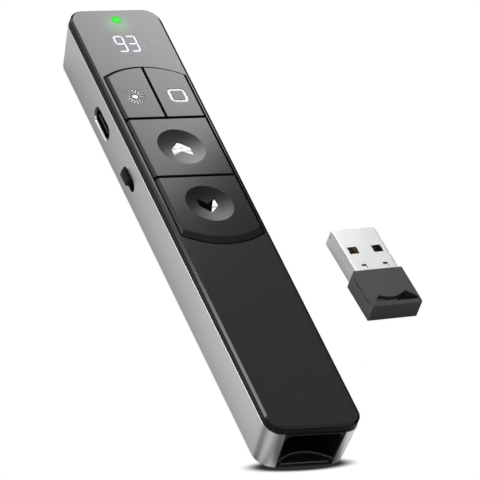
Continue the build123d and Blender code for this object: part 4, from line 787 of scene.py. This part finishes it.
def chevron(name, node, body, way, sunk, ridge, arm_tilts):
    """One inlay of two flat facets; arm_tilts gives the lean of each to the right and far side."""
    low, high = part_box(node)
    half = (high.x - low.x) / 2
    tip = high.y if way > 0 else low.y
    tail = low.y if way > 0 else high.y
    shoulder = tip - way * chevron_rise
    notch = tip - way * chevron_notch
    seam_y = (tip + notch) / 2
    seam_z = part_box("page_up_key")[1].z - dish_depth - sunk
    meeting = [(ridge, notch + (tail - notch) * ridge / half)] if ridge else []
    left = [(0.0, tip), (-half, shoulder), (-half, tail), (0.0, notch)] + meeting
    right = [(0.0, tip), (half, shoulder), (half, tail)] + (meeting or [(0.0, notch)])
    verts = []
    faces = []
    for side, outline, (lean_right, lean_far) in zip((-1, 1), (left, right), arm_tilts):
        if side * way > 0:
            outline.reverse()
        first = len(verts)
        count = len(outline)
        slope_x, slope_y = math.tan(math.radians(lean_right)), math.tan(math.radians(lean_far))
        for x, y in outline:
            verts.append((x, y, seam_z - (slope_x * x + slope_y * (y - seam_y))))
        verts += [(x, y, low.z) for x, y in outline]
        faces.append(tuple(first + k for k in range(count)))
        faces.append(tuple(first + count + k for k in reversed(range(count))))
        for k in range(count):
            after = (k + 1) % count
            faces.append((first + k, first + k + count, first + after + count, first + after))
    mesh = bpy.data.meshes.new(name)
    mesh.from_pydata(verts, [], faces)
    mesh.materials.append(chevron_chrome)
    piece = new_piece(name, mesh)
    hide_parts(node)
    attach(piece, body)


chevron(
    "up_inlay", "up_chevron", "page_up_button",
    way=1, sunk=0.00003, ridge=0.0, arm_tilts=((-4.5, 1.0), (-4.8, 1.0)),
)
chevron(
    "down_inlay", "down_chevron", "page_down_button",
    way=-1, sunk=0.0002, ridge=0.0019, arm_tilts=((4.0, -4.0), (-4.5, 1.0)),
)


# ---- Receiver ---------------------------------------------------------------------------------
# A USB-A plug in a short black cap. The plug's shell is folded stainless steel with two latch
# holes; inside it lie a dark tongue with four gilt contacts and the small board behind it.
plug_steel = worked_metal("plug_steel", (0.66, 0.66, 0.66), 0.5, (4000, 300, 4000), 3e-6)
# Painted light: a brighter copy of the plug's steel on its top face; painted shade: near-black on its
# slit and hole walls.
plug_top_painted_light = worked_metal("plug_top_painted_light", (0.84, 0.84, 0.845), 0.5, (9000, 900, 9000), 3e-6)
plug_slit_painted_shade = moulded_plastic("plug_slit_painted_shade", (0.01, 0.01, 0.01), 0.6, 4000, 2e-6, 0.0)
plug_low, plug_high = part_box("dongle_shell")
plug_middle = (plug_low + plug_high) / 2
plug_wall, plug_half = 0.0003, 0.006
plug_turn = Matrix.Rotation(math.radians(-3.9), 3, "Z")
sheet_foot = plug_high.z - 2 * plug_wall


def plug_finish(normal, centre):
    """Painted light on the top face, painted shade on the sheared edges of its holes and latch slits.
    """
    across = abs((plug_turn @ (centre - plug_middle)).x)
    if abs(normal.z) < 0.3 and centre.z > sheet_foot and across < plug_half - 2 * plug_wall:
        return plug_slit_painted_shade
    return plug_top_painted_light if normal.z > 0.9 and centre.z > plug_high.z - plug_wall / 2 else plug_steel


plug_finishes = (plug_steel, plug_top_painted_light, plug_slit_painted_shade)
plug = refinished("folded_plug_shell", "dongle_shell", plug_finishes, plug_finish, crease=0.5)
slit_far, slit_near = -0.0029, -0.0032
widened = 0.00018
for vert in plug.data.vertices:
    along = (plug_turn @ (vert.co - plug_middle)).y
    for edge, step in ((slit_far, widened), (slit_near, -widened)):
        if vert.co.z > sheet_foot and abs(along - edge) < 2e-5:
            vert.co += plug_turn.inverted() @ Vector((0, step, 0))
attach(plug, "receiver")
tongue_olive = moulded_plastic("tongue_olive", (0.045, 0.038, 0.016), 0.5, 4000, 5e-6)
dress(tongue_olive, "dongle_tongue")
# Gilt, darkened as painted shade for the contacts lying inside the plug's shell.
contact_gilt_painted_shade = worked_metal("contact_gilt_painted_shade", (0.3, 0.22, 0.09), 0.35, (4000, 300, 4000), 2e-6)
dress(contact_gilt_painted_shade, "dongle_contacts")
dress(board_mask, "dongle_board")
cap_black = moulded_plastic("cap_black", (0.038, 0.038, 0.038), 0.36, 4500, 1e-5)
# Lighter copies of the cap's black, painted light on its grip floor, its bevel and its upright faces.
cap_painted_light = moulded_plastic("cap_painted_light", (0.085, 0.085, 0.085), 0.55, 4500, 1e-5)
cap_flank_painted_light = moulded_plastic("cap_flank_painted_light", (0.05, 0.05, 0.05), 0.36, 4500, 1e-5)
cap_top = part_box("dongle_cap")[1].z
grip_height = cap_top - 0.001
near = 0.0001


def cap_finish(normal, centre):
    """Painted light: lighter on the upright faces, and lighter still on the grip's floor and its
    bevel.
    """
    grip_floor = normal.z > 0.9 and abs(centre.z - grip_height) < near
    bevel = normal.y < -0.5 and 0.5 < normal.z < 0.9
    if grip_floor or bevel:
        return cap_painted_light
    return cap_flank_painted_light if abs(normal.z) < 0.3 and centre.z < grip_height - near else cap_black


cap = refinished("gripped_cap", "dongle_cap", (cap_black, cap_painted_light, cap_flank_painted_light), cap_finish)
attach(cap, "receiver")


# ---- Studio -----------------------------------------------------------------------------------
# A white table, a tall softbox beyond the right of the clicker, a small one at its left and a
# broad fill lamp overhead, under a room that is white near the horizon and dark above.
bpy.context.scene.view_settings.view_transform = "Standard"
half_table = 3.0
table_corners = [(x * half_table, y * half_table, 0) for x, y in ((-1, -1), (1, -1), (1, 1), (-1, 1))]
table_mesh = bpy.data.meshes.new("table")
table_mesh.from_pydata(table_corners, [], [(0, 1, 2, 3)])
table = new_piece("table", table_mesh)
table_drop = 0.00002
table.location.z = -table_drop
table_white = bpy.data.materials.new("table_white")
table_white.use_nodes = True
tree = table_white.node_tree
tree.nodes.clear()
matt = tree.nodes.new("ShaderNodeBsdfDiffuse")
matt.inputs["Color"].default_value = (0.85, 0.85, 0.85, 1)
paper = tree.nodes.new("ShaderNodeEmission")
spot = tree.nodes.new("ShaderNodeTexCoord").outputs["Object"]

# Seen directly, the table is plain paper, with a thin line where a piece touches it and an oval
# pool of shade under the near end.
pool_middle, pool_reach = (-0.0005, -0.06995, 0), (0.0158, 0.0023, 1)
contact = tree.nodes.new("ShaderNodeAmbientOcclusion")
contact.inputs["Distance"].default_value = 0.0003
contact_shade = ramp(tree, contact.outputs["AO"], 0.4, 0.95, 0.8, 1.0)
pool = tree.nodes.new("ShaderNodeMapping")
pool.vector_type = "TEXTURE"
pool.inputs["Location"].default_value = pool_middle
pool.inputs["Scale"].default_value = pool_reach
tree.links.new(spot, pool.inputs["Vector"])
pool_away = far_from(tree, pool.outputs["Vector"], (0, 0, 0))
pool_shade = ramp(tree, pool_away, 0.62, 1.0, 0.03, 1.0, "SMOOTHSTEP")
seen_shade = worked_out(tree, "MULTIPLY", contact_shade, pool_shade)

# Mirrored in the pieces, it carries painted shade: darker near them and towards the far end, with
# grey sectors round the near left corner and a dark spot before the near end and another before the
# receiver.
near_corner = (-0.0096, -0.068, 0)
painted_shade_spots = (((0.003, -0.083, 0), 0.016), ((0.0435, -0.0315, 0), 0.011))
wide = tree.nodes.new("ShaderNodeAmbientOcclusion")
wide.inputs["Distance"].default_value = 0.03
spot_parts = tree.nodes.new("ShaderNodeSeparateXYZ")
tree.links.new(spot, spot_parts.inputs["Vector"])
falloff = ramp(tree, spot_parts.outputs["Y"], -0.03, 0.1, 1.0, 0.68)
mirrored = worked_out(tree, "MULTIPLY", wide.outputs["AO"], falloff)
corner = tree.nodes.new("ShaderNodeMapping")
corner.inputs["Scale"].default_value = (-1, -1, 1)
corner.inputs["Location"].default_value = near_corner
tree.links.new(spot, corner.inputs["Vector"])
corner_parts = tree.nodes.new("ShaderNodeSeparateXYZ")
tree.links.new(corner.outputs["Vector"], corner_parts.inputs["Vector"])
bearing = worked_out(tree, "ARCTAN2", corner_parts.outputs["Y"], corner_parts.outputs["X"])
sector = ramp(tree, bearing, math.radians(-60), math.radians(100))


def grey_scale(tree, value, knots, course="LINEAR"):
    """A grey tone in a tree; each knot is a value and the tone that belongs to it."""
    scale = tree.nodes.new("ShaderNodeValToRGB")
    scale.color_ramp.interpolation = course
    scale.color_ramp.elements.remove(scale.color_ramp.elements[1])
    for number, (place, tone) in enumerate(knots):
        knot = scale.color_ramp.elements.new(place) if number else scale.color_ramp.elements[0]
        knot.position = place
        knot.color = (tone, tone, tone, 1)
    tree.links.new(value, scale.inputs["Fac"])
    return scale.outputs["Color"]


painted_sector_tones = (
    (0.05, 1), (0.26, 0.3), (0.34, 0.3), (0.54, 0.8), (0.68, 0.75), (0.8, 0.4), (0.92, 0.6), (1.0, 1),
)
mirrored = worked_out(tree, "MULTIPLY", mirrored, grey_scale(tree, sector, painted_sector_tones, "EASE"))
# Each spot is painted shade in the table, seen only in mirrors.
for middle, reach in painted_shade_spots:
    away = far_from(tree, spot, middle)
    painted_spot_shade = ramp(tree, away, reach * 0.8, reach * 1.1, 0.12, 1.0, "SMOOTHSTEP")
    mirrored = worked_out(tree, "MULTIPLY", mirrored, painted_spot_shade)
rays = tree.nodes.new("ShaderNodeLightPath")
shade = tree.nodes.new("ShaderNodeMix")
tree.links.new(rays.outputs["Is Camera Ray"], shade.inputs["Factor"])
tree.links.new(mirrored, shade.inputs["A"])
tree.links.new(seen_shade, shade.inputs["B"])
tree.links.new(shade.outputs["Result"], paper.inputs["Strength"])
seen = worked_out(tree, "MAXIMUM", rays.outputs["Is Camera Ray"], rays.outputs["Is Glossy Ray"])
seen = worked_out(tree, "MAXIMUM", seen, rays.outputs["Is Transmission Ray"])
pick = tree.nodes.new("ShaderNodeMixShader")
surface = tree.nodes.new("ShaderNodeOutputMaterial")
tree.links.new(seen, pick.inputs["Fac"])
tree.links.new(matt.outputs["BSDF"], pick.inputs[1])
tree.links.new(paper.outputs["Emission"], pick.inputs[2])
tree.links.new(pick.outputs["Shader"], surface.inputs["Surface"])
table_mesh.materials.append(table_white)

# The room is white for the camera. The pieces mirror its walls, which are white at the foot, black
# above and curtained off at the right.
room = bpy.data.worlds.new("room")
bpy.context.scene.world = room
room.use_nodes = True
tree = room.node_tree
direction = tree.nodes.new("ShaderNodeTexCoord")
split = tree.nodes.new("ShaderNodeSeparateXYZ")
tree.links.new(direction.outputs["Generated"], split.inputs["Vector"])
wall_tones = ((0.22, 1), (0.44, 0.6), (0.6, 0.004))
walls = grey_scale(tree, split.outputs["Z"], wall_tones)
curtain = ramp(tree, split.outputs["X"], 0.52, 0.66, 1.0, 0.08, "SMOOTHSTEP")
sky = tree.nodes["Background"]
tree.links.new(walls, sky.inputs["Color"])
tree.links.new(curtain, sky.inputs["Strength"])
white = tree.nodes.new("ShaderNodeBackground")
white.inputs["Color"].default_value = (1, 1, 1, 1)
rays = tree.nodes.new("ShaderNodeLightPath")
backdrop = tree.nodes.new("ShaderNodeMixShader")
tree.links.new(rays.outputs["Is Camera Ray"], backdrop.inputs["Fac"])
tree.links.new(sky.outputs["Background"], backdrop.inputs[1])
tree.links.new(white.outputs["Background"], backdrop.inputs[2])
tree.links.new(backdrop.outputs["Shader"], tree.nodes["World Output"].inputs["Surface"])


def softbox(name, middle, aim, lean, width, height, watts, in_gloss=True):
    """A rectangular lamp aimed at a spot and turned about its own axis by lean, in degrees."""
    lamp = bpy.data.lights.new(name, "AREA")
    lamp.shape = "RECTANGLE"
    lamp.size, lamp.size_y, lamp.energy = width, height, watts
    box = bpy.data.objects.new(name, lamp)
    turn = (aim - middle).to_track_quat("-Z", "Y").to_matrix()
    turn = (turn @ Matrix.Rotation(math.radians(lean), 3, "Z")).to_4x4()
    turn.translation = middle
    box.matrix_world = turn
    box.visible_glossy = in_gloss
    bpy.context.scene.collection.objects.link(box)
    return box


# The tall box stands where the keys mirror the camera. It is brighter towards its foot, and its
# leaning right edge ends the gloss on the keys.
tall_place, key_level = Vector((0.0898, 0.4543, 0.2821)), Vector((0, 0, 0.01345))
tall_width, tall_height, tall_lean = 0.38, 0.5, -30.5
tall_watts = math.pi * tall_width * tall_height
tall_box = softbox("tall_box", tall_place, key_level, tall_lean, tall_width, tall_height, tall_watts)
tall_box.data.use_nodes = True
tree = tall_box.data.node_tree
across_box = tree.nodes.new("ShaderNodeNewGeometry")
box_parts = tree.nodes.new("ShaderNodeSeparateXYZ")
tree.links.new(across_box.outputs["Parametric"], box_parts.inputs["Vector"])
right_column = ((0.0, 0.25), (0.3, 0.3), (0.37, 0.85), (0.41, 0.9), (0.53, 0.2), (1.0, 0.2))
left_column = ((0.0, 0.25), (0.2, 0.4), (0.42, 0.62), (0.85, 0.62), (1.0, 0.4))
panel = tree.nodes.new("ShaderNodeMix")
leftward = ramp(tree, box_parts.outputs["X"], 0.16, 0.28, course="SMOOTHSTEP")
tree.links.new(leftward, panel.inputs["Factor"])
tree.links.new(grey_scale(tree, box_parts.outputs["Y"], right_column), panel.inputs["A"])
tree.links.new(grey_scale(tree, box_parts.outputs["Y"], left_column), panel.inputs["B"])
panel_strength = 8.0
panel_light = worked_out(tree, "MULTIPLY", panel.outputs["Result"], panel_strength)
tree.links.new(panel_light, tree.nodes["Emission"].inputs["Strength"])

# The small box at the left is round and soft, and lights the near end of the left rail.
left_spot = Vector((-0.012, -0.098, 0.0125))
left_away = Vector((-0.628, 0.64, 0.443)).normalized()
left_distance, left_width, left_height, left_watts = 0.5, 0.13, 0.23, 0.37
left_place = left_spot + left_away * left_distance
left_box = softbox("left_box", left_place, left_spot, 0, left_width, left_height, left_watts)
left_box.data.use_nodes = True
tree = left_box.data.node_tree
across_box = tree.nodes.new("ShaderNodeNewGeometry")
off_middle = far_from(tree, across_box.outputs["Parametric"], (0.5, 0.5, 0))
soft_edge = ramp(tree, off_middle, 0.18, 0.5, 1.0, 0.0, "SMOOTHSTEP")
tree.links.new(soft_edge, tree.nodes["Emission"].inputs["Strength"])
fill_place, fill_side, fill_watts = Vector((0, -0.1, 1.2)), 1.0, 9.0
softbox("overhead_fill", fill_place, Vector((0, 0, 0)), 0, fill_side, fill_side, fill_watts, False)

# The camera's own axes are given: to its right, downwards and towards the clicker.
camera = bpy.data.objects.new("camera", bpy.data.cameras.new("camera"))
bpy.context.scene.collection.objects.link(camera)
camera_place = Vector((-0.640149, -0.939487, 0.925844))
to_right = Vector((0.89585771, -0.34402126, 0.28122647))
to_ground = Vector((-0.03624582, -0.68737586, -0.7253969))
to_object = Vector((0.44286025, 0.63965912, -0.6282603))
turn = Matrix((to_right, -to_ground, -to_object)).transposed().to_4x4()
turn.translation = camera_place
camera.matrix_world = turn
camera.data.sensor_width = 36
camera.data.lens = 472.86
camera.data.clip_end = 10
bpy.context.scene.camera = camera
